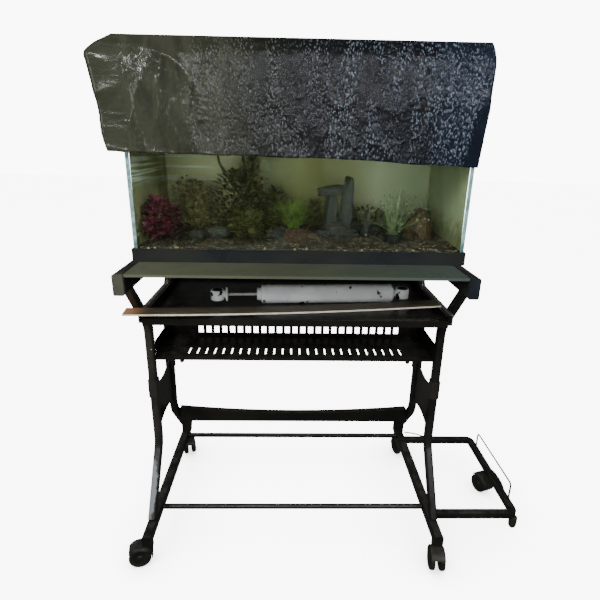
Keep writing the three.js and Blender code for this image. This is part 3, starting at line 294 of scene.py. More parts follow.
# %% Node helpers
class Nodes:
    """Short calls for building a node tree."""

    def __init__(self, tree):
        self.tree = tree

    def add(self, kind, values=None, **settings):
        """A node with its settings and input values; a value may be another node's output."""
        node = self.tree.nodes.new(kind)
        for key, value in settings.items():
            setattr(node, key, value)
        for key, value in (values or {}).items():
            if isinstance(value, bpy.types.NodeSocket):
                self.tree.links.new(value, node.inputs[key])
            else:
                node.inputs[key].default_value = value
        return node

    def link(self, value, socket):
        """Feeds a socket from an output."""
        self.tree.links.new(value, socket)

    def noise(self, place, scale, detail=2.0, **settings):
        """Smooth noise at a place; distortion may be given in settings."""
        values = {"Vector": place, "Scale": scale, "Detail": detail, **settings}
        return self.add("ShaderNodeTexNoise", values).outputs[0]

    def stretched(self, place, scale):
        """A place scaled along each axis."""
        return self.add("ShaderNodeMapping", {"Vector": place, "Scale": scale}).outputs[0]

    def relief(self, shader, strength, distance, height):
        """Bumps a shader's surface by a height."""
        values = {"Strength": strength, "Distance": distance, "Height": height}
        self.link(self.add("ShaderNodeBump", values).outputs[0], shader.inputs["Normal"])

    def math(self, how, a, b=None, clamp=False):
        """One arithmetic step."""
        values = {0: a} if b is None else {0: a, 1: b}
        return self.add("ShaderNodeMath", values, operation=how, use_clamp=clamp).outputs[0]

    def ramp(self, value, stops):
        """A colour ramp from (place, display colour) pairs."""
        node = self.add("ShaderNodeValToRGB", {0: value})
        bands = node.color_ramp.elements
        while len(bands) < len(stops):
            bands.new(0.5)
        for band, (place, colour) in zip(bands, stops):
            band.position = place
            band.color = linear(colour)
        return node.outputs[0]

    def step(self, value, low, high, start=0.0, end=1.0):
        """A soft step from start to end."""
        node = self.add(
            "ShaderNodeMapRange",
            {"Value": value, "From Min": low, "From Max": high, "To Min": start, "To Max": end},
            interpolation_type="SMOOTHSTEP",
        )
        return node.outputs[0]

    def mix(self, share, a, b):
        """A blend of two colours."""
        node = self.add("ShaderNodeMix", {0: share, 6: a, 7: b}, data_type="RGBA")
        return node.outputs[2]


def group(name, inputs, outputs):
    """An empty shader node group with named sockets, and its helper, inputs and output node."""
    tree = bpy.data.node_groups.new(name, "ShaderNodeTree")
    for label, kind, value in inputs:
        socket = tree.interface.new_socket(label, in_out="INPUT", socket_type=kind)
        if value is not None:
            socket.default_value = value
    for label, kind in outputs:
        tree.interface.new_socket(label, in_out="OUTPUT", socket_type=kind)
    make = Nodes(tree)
    return tree, make, make.add("NodeGroupInput").outputs, make.add("NodeGroupOutput").inputs


FLOAT, VECTOR = "NodeSocketFloat", "NodeSocketVector"


def linear(hex_colour):
    """A display colour such as #808080 as linear light, with alpha."""
    value = np.array([int(hex_colour[i : i + 2], 16) / 255 for i in (1, 3, 5)])
    return (*(np.where(value < 0.04045, value / 12.92, ((value + 0.055) / 1.055) ** 2.4)), 1.0)


# %% Group: wear
# Mottle is slow uneven tone, Chips is a mask of small lost flakes, Relief is the paint's own orange peel.
tree, make, given, out = group(
    "wear",
    [("Place", VECTOR, None), ("Mottle size", FLOAT, 12.0), ("Chip size", FLOAT, 90.0),
    ("Chip share", FLOAT, 0.1)],
    [("Mottle", FLOAT), ("Chips", FLOAT), ("Relief", FLOAT)],
)
slow = make.noise(given["Place"], given["Mottle size"], 5.0)
flake = make.noise(given["Place"], given["Chip size"], 3.0)
peel = make.noise(given["Place"], 900.0, 2.0)
edge = make.math("SUBTRACT", 1.0, given["Chip share"])
level = make.math("MULTIPLY_ADD", edge, 0.6)
level.node.inputs[2].default_value = 0.2
chips = make.math("MULTIPLY", make.math("SUBTRACT", flake, level), 30.0, True)
make.link(slow, out["Mottle"])
make.link(chips, out["Chips"])
make.link(peel, out["Relief"])
WEAR = tree

# %% Group: dust
# Dust lies where a face looks up, thicker in slow patches.
tree, make, given, out = group("dust", [("Place", VECTOR, None), ("Amount", FLOAT, 0.3)], [("Mask", FLOAT)])
up = make.add("ShaderNodeSeparateXYZ", {0: make.add("ShaderNodeNewGeometry").outputs["Normal"]}).outputs[2]
patch = make.noise(given["Place"], 35.0, 6.0)
lying = make.math("MULTIPLY", make.step(up, 0.35, 0.95), make.step(patch, 0.3, 0.75))
make.link(make.math("MULTIPLY", lying, given["Amount"]), out["Mask"])
DUST = tree

# %% Group: patch
# A soft-edged ball at a place, its edge broken up by noise.
tree, make, given, out = group(
    "patch", [("Place", VECTOR, None), ("Centre", VECTOR, None), ("Size", VECTOR, None)], [("Mask", FLOAT)]
)
apart = make.add("ShaderNodeVectorMath", {0: given["Place"], 1: given["Centre"]},
    operation="SUBTRACT").outputs[0]
scaled = make.add("ShaderNodeVectorMath", {0: apart, 1: given["Size"]}, operation="DIVIDE").outputs[0]
far = make.add("ShaderNodeVectorMath", {0: scaled}, operation="LENGTH").outputs["Value"]
rough = make.noise(given["Place"], 120.0, 5.0)
ragged = make.math("ADD", far, make.math("MULTIPLY", make.math("SUBTRACT", rough, 0.5), 0.9))
make.link(make.step(ragged, 1.1, 0.75), out["Mask"])
PATCH = tree


# %% [markdown]
# ## Paint, plastic and plain metals
# Most of the trolley is satin black paint on steel. One builder makes such finishes: a base colour that
# mottles a little, chips that show what is under it, dust on top, and a fine relief.


# %% Builder of plain finishes
def new_finish(name):
    """An empty material with its output, a principled shader and the object's own coordinates."""
    made = bpy.data.materials.new(name)
    made.use_nodes = True
    made.node_tree.nodes.clear()
    make = Nodes(made.node_tree)
    shader = make.add("ShaderNodeBsdfPrincipled")
    make.link(shader.outputs[0], make.add("ShaderNodeOutputMaterial").inputs[0])
    place = make.add("ShaderNodeTexCoord").outputs["Object"]
    return made, make, shader, place


def coated(name, base, other, under, roughness, metallic=0.0, mottle=12.0, chip=90.0, share=0.1,
           dust=0.25, relief=0.15, painted_highlights=()):
    """Paint or plastic: base mottling to other, chips down to under, dust, and soft spots of painted
    highlight.
    """
    made, make, shader, place = new_finish(name)
    wear = make.add("ShaderNodeGroup", node_tree=WEAR)
    make.link(place, wear.inputs["Place"])
    wear.inputs["Mottle size"].default_value = mottle
    wear.inputs["Chip size"].default_value = chip
    wear.inputs["Chip share"].default_value = share
    lying = make.add("ShaderNodeGroup", node_tree=DUST)
    make.link(place, lying.inputs["Place"])
    lying.inputs["Amount"].default_value = dust
    colour = make.mix(make.step(wear.outputs["Mottle"], 0.35, 0.65), linear(base), linear(other))
    colour = make.mix(wear.outputs["Chips"], colour, linear(under))
    rough = make.step(wear.outputs["Mottle"], 0.3, 0.7, roughness - 0.06, roughness + 0.08)
    # Each painted highlight blends a pale tint and its own roughness into a soft spot at a place.
    for centre, size, tint, shine in painted_highlights:
        highlight_mask = make.add("ShaderNodeGroup", node_tree=PATCH)
        make.link(place, highlight_mask.inputs["Place"])
        highlight_mask.inputs["Centre"].default_value = tuple(centre)
        highlight_mask.inputs["Size"].default_value = size
        colour = make.mix(highlight_mask.outputs[0], colour, linear(tint))
        blend = make.add("ShaderNodeMix", {0: highlight_mask.outputs[0], 2: rough, 3: shine}, data_type="FLOAT")
        rough = blend.outputs[0]
    colour = make.mix(lying.outputs[0], colour, linear("#8B8778"))
    rough = make.math("MAXIMUM", rough, make.math("MULTIPLY", lying.outputs[0], 0.9))
    make.relief(shader, relief, 0.0004, wear.outputs["Relief"])
    make.link(colour, shader.inputs["Base Color"])
    make.link(rough, shader.inputs["Roughness"])
    shader.inputs["Metallic"].default_value = metallic
    return made


def wear_it(nodes, finish):
    """Gives model nodes a finish."""
    for name in nodes:
        frame["nodes"][name].data.materials.clear()
        frame["nodes"][name].data.materials.append(finish)


# %% The trolley's finishes
black_paint = coated("satin_black_paint", "#100F0E", "#191815", "#4A463E", 0.34, share=0.05, dust=0.1)
steel_sheet = coated("black_steel_sheet", "#100F0C", "#191712", "#4A473E", 0.3, mottle=6.0, share=0.04,
    dust=0.07)
moulded = coated("black_moulding", "#171712", "#22221B", "#3E3D35", 0.48, mottle=30.0, share=0.02,
    dust=0.12, relief=0.3)
cap_grey = coated("cap_plastic", "#38382F", "#414137", "#55544A", 0.42, mottle=18.0, share=0.02, dust=0.05)
cap_navy = coated("cap_plastic_dark", "#171B21", "#1E242B", "#3A4047", 0.4, mottle=18.0, share=0.02,
    dust=0.04)
zinc = coated("zinc_plate", "#8F8F88", "#B9B9B0", "#6A6253", 0.32, metallic=0.85, mottle=60.0, share=0.08,
    dust=0.1)
plate_paint = coated("sleeve_paint", "#12110F", "#25231F", "#4E4A43", 0.3, mottle=9.0, share=0.06, dust=0.1)
wear_it([n for n in frame["nodes"] if n.startswith(("top_rail", "foot_rail", "cross_bar", "holder_"))],
    black_paint)
wear_it(["rear_stretcher", "sliding_tray", "slotted_shelf"], steel_sheet)
wear_it(["side_plate_left", "side_plate_right"], plate_paint)
wear_it(["rail_cap_front_left", "rail_cap_rear_left"], cap_grey)
wear_it(["rail_cap_front_right", "rail_cap_rear_right"], cap_navy)
wear_it(["tray_runner_left", "tray_runner_right"], zinc)
wear_it(["holder_stub"], moulded)

# %% [markdown]
# ## Board
# The board between the rails is faced with a grey laminate that looks slightly green, with a fine
# pressed pattern. It is a little lighter on the left, where daylight falls on it.

# %% Board finish
board, make, shader, place = new_finish("grey_laminate")
fine = make.add("ShaderNodeTexVoronoi", {"Vector": place, "Scale": 700.0}).outputs[0]
slow = make.noise(place, 9.0, 4.0)
across = make.add("ShaderNodeSeparateXYZ", {0: place}).outputs[0]
tone = make.ramp(
    make.step(across, float(MID[0] - 0.35), float(MID[0] + 0.35)),
    [(0.0, "#515442"), (0.5, "#474B3A"), (1.0, "#404A43")],
)
colour = make.mix(make.step(slow, 0.35, 0.7, 0.0, 0.35), tone, linear("#3B3E32"))
make.link(colour, shader.inputs["Base Color"])
make.link(make.step(slow, 0.3, 0.7, 0.38, 0.5), shader.inputs["Roughness"])
make.relief(shader, 0.25, 0.0003, fine)
wear_it(["desk_board"], board)

# %% [markdown]
# ## Slat
# A thin faced board that has warped. Its top is a dull brown, its front edge is bare and pale, and the
# left tip is a warmer copper brown. The pale edge is found from the face's own direction.

# %% Slat finish
slat_finish, make, shader, place = new_finish("faced_slat")
stretch = make.stretched(place, (4.0, 60.0, 60.0))
grain = make.noise(stretch, 6.0, 6.0)
face = make.add("ShaderNodeSeparateXYZ", {0: make.add("ShaderNodeNewGeometry").outputs["Normal"]})
across = make.add("ShaderNodeSeparateXYZ", {0: place}).outputs[0]
top = make.mix(make.step(grain, 0.35, 0.65), linear("#3B352A"), linear("#5A5242"))
tip = make.step(across, float(MID[0] - 0.33), float(MID[0] - 0.392))
top = make.mix(tip, top, linear("#9A6E48"))
rim = make.mix(make.step(grain, 0.4, 0.6), linear("#D8D2C0"), linear("#B9AF98"))
colour = make.mix(make.step(face.outputs[1], -0.5, -0.9), top, rim)
make.link(colour, shader.inputs["Base Color"])
make.link(make.step(grain, 0.3, 0.7, 0.3, 0.5), shader.inputs["Roughness"])
make.relief(shader, 0.3, 0.0005, grain)
wear_it(["loose_slat"], slat_finish)

# %% [markdown]
# ## Legs
# The bent legs are tube with rounded corners. They are made again here with smooth bends: straight
# stretches joined by arcs, with the tube's outline carried along. The front left leg has painted
# highlights: pale grey-blue and grey spots low down near its foot, and a small near-white spot near its top.


# %% Leg shape
def bent_path(corners_yz, radius, x, steps=14):
    """A path in a plane of constant x: straight runs joined by arcs of one radius at the inner corners."""
    corner = np.array([[x, y, z] for y, z in corners_yz], float)
    path = [corner[:1]]
    for before, here, after in zip(corner[:-2], corner[1:-1], corner[2:]):
        back = (before - here) / np.linalg.norm(before - here)
        on = (after - here) / np.linalg.norm(after - here)
        half = math.acos(float(np.clip(back @ on, -1, 1))) / 2
        middle = (back + on) / np.linalg.norm(back + on) * radius / math.sin(half)
        start = back * radius / math.tan(half) - middle
        stop = on * radius / math.tan(half) - middle
        whole = math.pi - 2 * half
        t = np.linspace(0, whole, steps)[:, None]
        path.append(here + middle + (np.sin(whole - t) * start + np.sin(t) * stop) / math.sin(whole))
    path.append(corner[-1:])
    return np.concatenate(path)


# Painted highlights on the front left leg: grey-blue and grey spots low down and a near-white spot near the
# top stand in for the tube's shine.
leg_left_front_highlit = coated(
    "leg_paint_painted_highlights", "#1B1A17", "#2A2822", "#A9AEB0", 0.34, share=0.1, dust=0.2,
    painted_highlights=[
        (MID + [-0.379, -0.172, 0.165], (0.013, 0.10, 0.075), "#6E7476", 0.35),
        (MID + [-0.374, -0.140, 0.330], (0.015, 0.02, 0.02), "#6E6B64", 0.4),
        (MID + [-0.384, -0.190, 0.693], (0.006, 0.01, 0.007), "#D8D6CE", 0.5),
    ],
)
leg_z = {n: corners(n) for n in frame["nodes"] if n.startswith("leg_")}
for name, (low, high) in leg_z.items():
    side = -1 if "left" in name else 1
    end = -1 if "front" in name else 1
    foot = 0.200 if end < 0 else 0.224
    run = [(end * 0.198, high[2]), (end * 0.086, 0.605), (end * 0.086, 0.256), (end * foot, low[2])]
    path = bent_path([(y + MID[1], z) for y, z in run], 0.070, MID[0] + side * 0.374)
    ring = sweep(path, rounded(0.020, 0.026, 0.006), side=(1, 0, 0))
    points = ring[0].copy()
    points[:, 2] = np.clip(points[:, 2], low[2], high[2])
    finish = leg_left_front_highlit if name == "leg_front_left" else black_paint
    made = build("tube_" + name, [(points, *ring[1:])], finish)
    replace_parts(crisp(made, 50), name)

# %% [markdown]
# ## Castors
# Each castor has a plastic hood over two wheels. A wheel is a turned shape: a flat tread with rounded
# shoulders, a dished face and a hub. The hood is a channel carried round the axle, so it is a turned
# shape too, over part of a circle, closed at both ends.

# %% Castor shapes
WHEEL = 0.028
wheel_profile = np.array(
    [
        (0, 20.5), (3, 20.5), (5, 20), (8, 18.2), (9, 17.2), (17, 16.6), (19, 17.4), (22, 19.2), (24, 19.5),
        (26, 18.8), (27.4, 17.4), (28, 15.4), (28, 10), (27.6, 7.8), (26.5, 6.8), (4, 6.6),
    ]
) / 1000
hood_outer = [(29.6, -18.6), (31.4, -17.4), (32.2, -15), (32.4, 0), (32.2, 15), (31.4, 17.4), (29.6, 18.6)]
hood_inner = [(29.4, 17), (30, 15), (30.2, 5.2), (8, 5), (8, -5), (30.2, -5.2), (30, -15), (29.4, -17)]
hood_profile = np.array(hood_outer + hood_inner) / 1000


def castor_parts(stem, wheel_centre, seat):
    """Points of one castor's wheels and hood, in the row frame."""
    away = wheel_centre - stem
    heading = math.degrees(math.atan2(away[1], away[0])) + 90
    wheels = []
    for sign in (1, -1):
        pts, quads = turned_shape(wheel_profile * [1, sign], "x", sides=48)
        wheels.append((turn_about_z(pts, heading) + wheel_centre, quads if sign < 0 else quads[:, ::-1]))
    axle = turned_shape([(0, -0.0075), (0.004, -0.0075), (0.004, 0.0075), (0, 0.0075)], "x", sides=16)
    wheels.append((turn_about_z(axle[0], heading) + wheel_centre, axle[1]))
    a = np.radians(np.linspace(-10, 146, 40))
    r, x = hood_profile[:, 0], hood_profile[:, 1]
    arc = np.stack([x[None] + 0 * a[:, None], np.cos(a)[:, None] * r, np.sin(a)[:, None] * r], -1)
    count = len(r)
    pts = turn_about_z(arc.reshape(-1, 3), heading) + wheel_centre
    ends = np.stack([np.arange(count), (len(a) - 1) * count + np.arange(count)])
    middles = np.stack([pts[e].mean(0) for e in ends])
    hood = (
        np.concatenate([pts, middles]),
        grid_quads(len(a), count, True)[:, ::-1],
        np.concatenate([fan(ends[0], len(pts)), fan(ends[1], len(pts) + 1, True)]),
    )
    boss = turned_shape(
        [(0, 0.046), (0.010, 0.046), (0.012, 0.052), (0.012, seat - 0.001), (0.011, seat), (0, seat)],
        sides=24
    )
    boss = (boss[0] + [stem[0], stem[1], 0], boss[1])
    return wheels, [hood, boss]


tread = coated("castor_tread", "#14140F", "#1F1F18", "#3A3931", 0.5, mottle=50.0, share=0.05, dust=0.15,
    relief=0.4)
for label in ("front_left", "front_right", "rear_left", "rear_right", "side"):
    swivel = next(j for j in frame["joints"] if j["name"] == "swivel_" + label)
    roll = next(j for j in frame["joints"] if j["name"] == "roll_" + label)
    seat = corners("castor_hood_" + label)[1][2] - 0.016
    stem = np.array([*swivel["pos_m"][:2], WHEEL])
    wheels, hood = castor_parts(stem, np.array(roll["pos_m"]), seat)
    made = build("twin_wheel_" + label, wheels, tread, "wheels_" + label)
    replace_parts(crisp(made, 40), "castor_wheels_" + label)
    made = build("castor_cover_" + label, hood, moulded, "castor_" + label)
    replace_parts(crisp(made, 40), "castor_hood_" + label)

# %% [markdown]
# ## Damper
# The damper is painted white all over, body, eyes and stop plate, and the paint has come off in small
# black chips. Only the thin rod is bare; its brightness is a painted reflection, a pale base colour with
# little metal in it. The body is one turned shape with a rolled edge at each end; an eye is a short sleeve
# with a rubber bush and a steel tube in it.

# %% Damper finish and shapes
white_paint = coated("white_chipped_paint", "#CFD6D3", "#DFE4E2", "#0E0F10", 0.33, mottle=25.0, chip=40.0,
                     share=0.26, dust=0.12, relief=0.2)
# Painted reflection: the bare rod's brightness is a pale base colour with little metal in it.
pale_rod_sheen = coated("rod_painted_sheen", "#C9C9C4", "#B5B6B4", "#77736A", 0.16, metallic=0.2, mottle=200.0,
    share=0.02, dust=0.0)
bush_rubber = coated("bush_rubber", "#1A1A1A", "#262625", "#3A3A38", 0.7, mottle=80.0, share=0.02, dust=0.3)
DAMPER_TURN = 3.4
body_low, body_high = corners("damper_body")
damper_start = MID + [-0.0885, -0.065, (body_low[2] + body_high[2]) / 2]


def on_damper(part):
    """A part drawn along x from the damper's start, put in its place."""
    return (turn_about_z(part[0], DAMPER_TURN) + damper_start, *part[1:])


def eye_parts(x):
    """Sleeve, bush and inner tube of an eye whose hole is upright."""
    sleeve = [(0.0135, -0.0125), (0.0165, -0.0125), (0.017, -0.0118), (0.017, 0.0118), (0.0165, 0.0125),
        (0.0135, 0.0125)]
    bush = [(0.0085, -0.0125), (0.011, -0.0137), (0.0135, -0.0122), (0.0135, 0.0122), (0.011, 0.0137),
        (0.0085, 0.0125)]
    tube = [(0.007, -0.0145), (0.0085, -0.0145), (0.0085, 0.0145), (0.007, 0.0145), (0.007, -0.0145)]
    sleeve, bush = sleeve + sleeve[:1], bush + bush[:1]
    return [turned_shape(p, "z", (x, 0, 0), 40) for p in (sleeve, bush, tube)]


body_profile = [
    (0, -11), (14, -11), (15.6, -10), (16, -8), (16, -1), (18, 0), (22, 0), (23.2, 1), (23.5, 3), (23.5, 8),
    (23.0, 9.5), (23.0, 11), (23.5, 12.5), (23.5, 322), (23.1, 324), (23.1, 326), (23.5, 328), (23.4, 331),
    (22.4, 334.5), (20, 337), (15, 339), (10, 341), (8.5, 344), (8.5, 352), (0, 352),
]
body_parts = [on_damper(turned_shape(np.array(body_profile) / 1000, "x", sides=64))]
far_eye = [on_damper(p) for p in eye_parts(0.364)]
made = build("damper_tube", body_parts + far_eye[:1], white_paint, "damper")
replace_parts(crisp(made, 40), "damper_body")
crisp(build("damper_far_bush", far_eye[1:], bush_rubber, "damper"), 50)
rod_profile = [
    (0, -97), (8, -97), (8.5, -91), (12, -89.5), (17, -88.5), (18, -87.5), (18, -84.8), (17.4, -84), (5, -84),
    (4.2, -82), (3.6, -81), (3.6, 0), (0, 0),
]
plate = np.array(rod_profile[:10]) / 1000
stalk = np.array([(0, -82.5), *rod_profile[10:]]) / 1000
near_eye = [on_damper(p) for p in eye_parts(-0.110)]
plate = np.concatenate([plate, [(0, plate[-1][1])]])
head = build("damper_rod_head", [on_damper(turned_shape(plate, "x", sides=48))] + near_eye[:1],
    white_paint, "rod")
crisp(head, 40)
crisp(build("damper_near_bush", near_eye[1:], bush_rubber, "rod"), 50)
made = build("damper_rod_steel", [on_damper(turned_shape(stalk, "x", sides=24))], pale_rod_sheen, "rod")
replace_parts(crisp(made, 40), "damper_rod")

# %% [markdown]
# ## Shelf bolts and holder brace
# Small round heads hold the shelf's front edge, and a thin brace wire ties the holder to the foot rail.

# %% Bolts and brace
shelf_low, shelf_high = corners("slotted_shelf")
bolt = [(0, -0.004), (0.004, -0.004), (0.0055, -0.0025), (0.0055, 0.0), (0, 0.0)]
bolts = []
for x in (-0.297, 0.297):
    pts, quads = turned_shape(bolt, "z", sides=20)
    spot = [MID[0] + x, shelf_low[1] + 0.006, shelf_high[2] - 0.0525]
    bolts.append((pts * [1, 1, 1.6] + spot - [0, 0, 0.0003], quads))
crisp(build("shelf_bolts", bolts, moulded), 40)
brace_path = spline_through(
    np.array([[0.388, 0.190, 0.0955], [0.410, 0.186, 0.0950], [0.432, 0.178, 0.0945],
    [0.450, 0.1685, 0.0935]]) + MID, 20
)
build("holder_brace", [sweep(brace_path, circle(0.0022, 10), side=(0, 0, 1))], black_paint)

# %% [markdown]
# ## Tank
# The base trim, rim and hood are black moulded plastic. The panes are clear glass. Light must pass them
# to reach the plants, so their shader lets shadow and diffuse rays straight through. For other rays it
# is glass that bends light very little, so that the front pane lays no veil over the tank.

# %% Trim and glass
trim = coated("tank_moulding", "#181B1E", "#20231F", "#43443E", 0.3, mottle=8.0, share=0.02, dust=0.05,
    relief=0.1)
wear_it(["tank_trim", "tank_rim", "hood"], trim)


def glass_finish(name, tint):
    """Clear glass that casts no dark shadow."""
    made, make, shader, _ = new_finish(name)
    shader.inputs["Base Color"].default_value = linear(tint)
    shader.inputs["Transmission Weight"].default_value = 1.0
    shader.inputs["Roughness"].default_value = 0.0
    shader.inputs["IOR"].default_value = 1.06
    shader.inputs["Specular IOR Level"].default_value = 0.06
    clear = make.add("ShaderNodeBsdfTransparent", {0: (0.93, 0.96, 0.93, 1)}).outputs[0]
    path = make.add("ShaderNodeLightPath").outputs
    through = make.math("MAXIMUM", path["Is Shadow Ray"], path["Is Diffuse Ray"])
    both = make.add("ShaderNodeMixShader", {0: through, 1: shader.outputs[0], 2: clear}).outputs[0]
    output = next(n for n in make.tree.nodes if n.type == "OUTPUT_MATERIAL")
    make.link(both, output.inputs[0])
    return made


wear_it([n for n in frame["nodes"] if n.startswith("pane_")], glass_finish("clear_glass", "#EAF6F3"))

# %% [markdown]
# The front pane's two upright ends look pale blue-green, not clear. That is the light clear glass carries
# along its edge, painted on a thin strip with rounded sides, set against the glass.

# %% Glass edges with painted light
# Painted light: the pale blue-green of the glass edges is a colour on opaque strips.
edge_tint_paint, make, shader, place = new_finish("glass_edge_painted_light")
edge_mottle = make.noise(place, 90.0, 4.0)
make.link(make.mix(make.step(edge_mottle, 0.3, 0.7), linear("#5C7E7C"), linear("#8DB0AC")),
    shader.inputs["Base Color"])
make.link(make.step(edge_mottle, 0.3, 0.7, 0.2, 0.45), shader.inputs["Roughness"])
front_low, front_high = corners("pane_front")
edge_low, edge_high = corners("tank_trim")[1][2] + 0.0005, corners("tank_rim")[0][2] - 0.0005
strips = []
for x in (front_low[0] + 0.0045, front_high[0] - 0.0045):
    line = np.linspace([x, front_low[1] - 0.0004, edge_low], [x, front_low[1] - 0.0004, edge_high], 12)
    strips.append(sweep(line, rounded(0.0086, 0.0006, 0.00025, 3), side=(1, 0, 0)))
build("glass_edges_painted_light", strips, edge_tint_paint)

# %% [markdown]
# ## Background
# The back and ends of the tank are lined with a mottled olive film. It is dark and dense behind the
# driftwood and paler to the right. Its left end is paler, with near-white streaks high up and pale patches
# below them: a painted reflection of bright light in the front glass.

# %% Background film
pane_low, pane_high = corners("pane_back")
left_low, left_high = corners("pane_left")
right_low, _ = corners("pane_right")
bed_low, bed_high = corners("gravel_bed")
film, make, shader, place = new_finish("background_film")
centred = make.add("ShaderNodeMapping", {"Vector": place, "Location": tuple(-TANK)}).outputs[0]
part = make.add("ShaderNodeSeparateXYZ", {0: centred})
x, z = part.outputs[0], part.outputs[2]
cloud = make.noise(centred, 9.0, 6.0)
fine = make.noise(centred, 45.0, 6.0, Distortion=1.2)
wander = make.math("ADD", x, make.math("MULTIPLY", make.math("SUBTRACT", cloud, 0.5), 0.06))
# The pale stops at the left end are a painted reflection of bright light in the front glass.
tone = make.ramp(
    make.step(wander, -0.38, 0.38, 0.0, 1.0),
    [
        (0.0, "#9A9A6C"), (0.14, "#B8B485"), (0.25, "#6E6C38"),
        (0.34, "#55552A"), (0.5, "#77743A"), (0.62, "#77713F"),
        (0.78, "#A7A678"), (0.9, "#C6C9A2"), (1.0, "#9CA27E"),
    ],
)
low_dark = make.step(make.math("ADD", z, make.math("MULTIPLY", fine, 0.06)), 0.93, 0.86)
murk = make.mix(make.step(fine, 0.4, 0.62), linear("#39371B"), linear("#5B5630"))
colour = make.mix(make.math("MULTIPLY", low_dark, 0.75), tone, murk)
# Painted reflection at the left end: near-white streaks high up and pale patches below them.
streak = make.stretched(centred, (2.0, 2.0, 90.0))
bars = make.noise(streak, 1.6, 4.0)
left_end = make.step(wander, -0.19, -0.215)
high = make.step(z, 0.935, 0.965)
painted_reflection_streaks = make.math("MULTIPLY", left_end, make.math("MULTIPLY", high, make.step(bars, 0.45, 0.62)))
colour = make.mix(painted_reflection_streaks, colour, linear("#E9EEDC"))
painted_reflection_patches = make.math("MULTIPLY", left_end,
    make.math("MULTIPLY", make.step(z, 0.94, 0.92), make.step(fine, 0.45, 0.66)))
colour = make.mix(painted_reflection_patches, colour, linear("#B7A97A"))
make.link(colour, shader.inputs["Base Color"])
shader.inputs["Roughness"].default_value = 0.5
make.relief(shader, 0.3, 0.002, fine)


def liner(name, a, b, low, high):
    """A thin upright sheet between two places, from low to high, with a slight wave in it."""
    t = np.linspace(0, 1, 90)[None, :, None]
    h = np.linspace(low, high, 30)[:, None, None]
    a, b = np.array([*a, 0.0]), np.array([*b, 0.0])
    along = (b - a) / np.linalg.norm(b - a)
    normal = np.array([along[1], -along[0], 0.0])
    wave = 0.0006 * np.sin(t * 14 + h * 20)
    grid = a + (b - a) * t + normal * wave + np.array([0, 0, 1.0]) * h
    made = build(name, [(grid.reshape(-1, 3), grid_quads(30, 90))], film)
    thick = made.modifiers.new("thickness", "SOLIDIFY")
    thick.thickness = 0.0004
    return made


FILM_END_GAP = 0.0009
FILM_LOW, FILM_HIGH = bed_low[2] + 0.004, pane_high[2] - 0.028
inside_y = pane_low[1] - 0.0022
liner("film_back", (left_high[0] + 0.0001, inside_y), (right_low[0] - 0.0001, inside_y), FILM_LOW, FILM_HIGH)
side_front, side_back = left_low[1] + 0.0008, pane_low[1] - 0.001
film_left_x, film_right_x = left_high[0] + FILM_END_GAP, right_low[0] - FILM_END_GAP
liner("film_left", (film_left_x, side_front), (film_left_x, side_back), FILM_LOW, FILM_HIGH)
liner("film_right", (film_right_x, side_back), (film_right_x, side_front), FILM_LOW, FILM_HIGH)

# %% [markdown]
# ## Gravel
# The bed is dark mixed gravel that rises to the back, with a redder mound left of the middle. A fine
# relief grid gives its surface, and a layer of small loose stones lies on it, each a rough eight-faced
# lump turned its own way.


# %% Gravel bed
def bed_height(x, y):
    """Height of the gravel's top at a place measured from the tank's middle, as in the solid model."""
    t = (y + 0.1447) / 0.2894
    mound = 0.026 * np.exp(-(((x + 0.014) / 0.062) ** 2) - ((y + 0.040) / 0.055) ** 2)
    return bed_low[2] + 0.018 + 0.008 * t + mound


half_x = (bed_high[0] - bed_low[0]) / 2
half_y = (bed_high[1] - bed_low[1]) / 2
gx, gy = np.meshgrid(np.linspace(-half_x, half_x, 260), np.linspace(-half_y, half_y, 110))
relief = 0.0012 * ripple(gx, gy, 0.009, 3, 12) + 0.0015 * ripple(gx, gy, 0.03, 4)
top = np.stack([gx, gy, bed_height(gx, gy) + relief], -1)
rows, columns = gx.shape
edge = np.concatenate(
    [
        np.arange(columns), np.arange(1, rows) * columns + columns - 1,
        (rows - 1) * columns + np.arange(columns - 2, -1, -1), np.arange(rows - 2, 0, -1) * columns,
    ]
)
flat = top.reshape(-1, 3)
skirt = flat[edge] * [1, 1, 0] + [0, 0, bed_low[2]]
wall_a = np.stack([edge, np.roll(edge, -1)], -1)
first = len(flat) + np.arange(len(edge))
wall = np.stack([first, np.roll(first, -1), wall_a[:, 1], wall_a[:, 0]], -1)
floor_fan = fan(first, len(flat) + len(edge), True)
bed_points = np.concatenate([flat, skirt, [[0, 0, bed_low[2]]]]) + TANK

gravel, make, shader, place = new_finish("dark_gravel")
grains = make.add("ShaderNodeTexVoronoi", {"Vector": place, "Scale": 260.0})
slow = make.noise(place, 30.0, 4.0)
pick = make.add("ShaderNodeSeparateXYZ", {0: grains.outputs["Color"]}).outputs[0]
base = make.ramp(
    pick,
    [
        (0.0, "#14110B"), (0.5, "#241F13"), (0.85, "#372F1E"),
        (0.95, "#6A5836"), (0.985, "#A39B82"), (1.0, "#A65B28"),
    ],
)
mound = make.add("ShaderNodeGroup", node_tree=PATCH)
make.link(place, mound.inputs["Place"])
mound.inputs["Centre"].default_value = tuple(TANK + [-0.014, -0.045, 0.84])
mound.inputs["Size"].default_value = (0.08, 0.07, 0.035)
base = make.mix(make.math("MULTIPLY", mound.outputs[0], 0.6), base, linear("#3E231A"))
make.link(base, shader.inputs["Base Color"])
shader.inputs["Roughness"].default_value = 0.75
make.relief(shader, 0.7, 0.002, grains.outputs["Distance"])
made = build("gravel_surface", [(bed_points, np.concatenate([grid_quads(rows, columns), wall]),
    floor_fan)], gravel)
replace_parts(made, "gravel_bed")

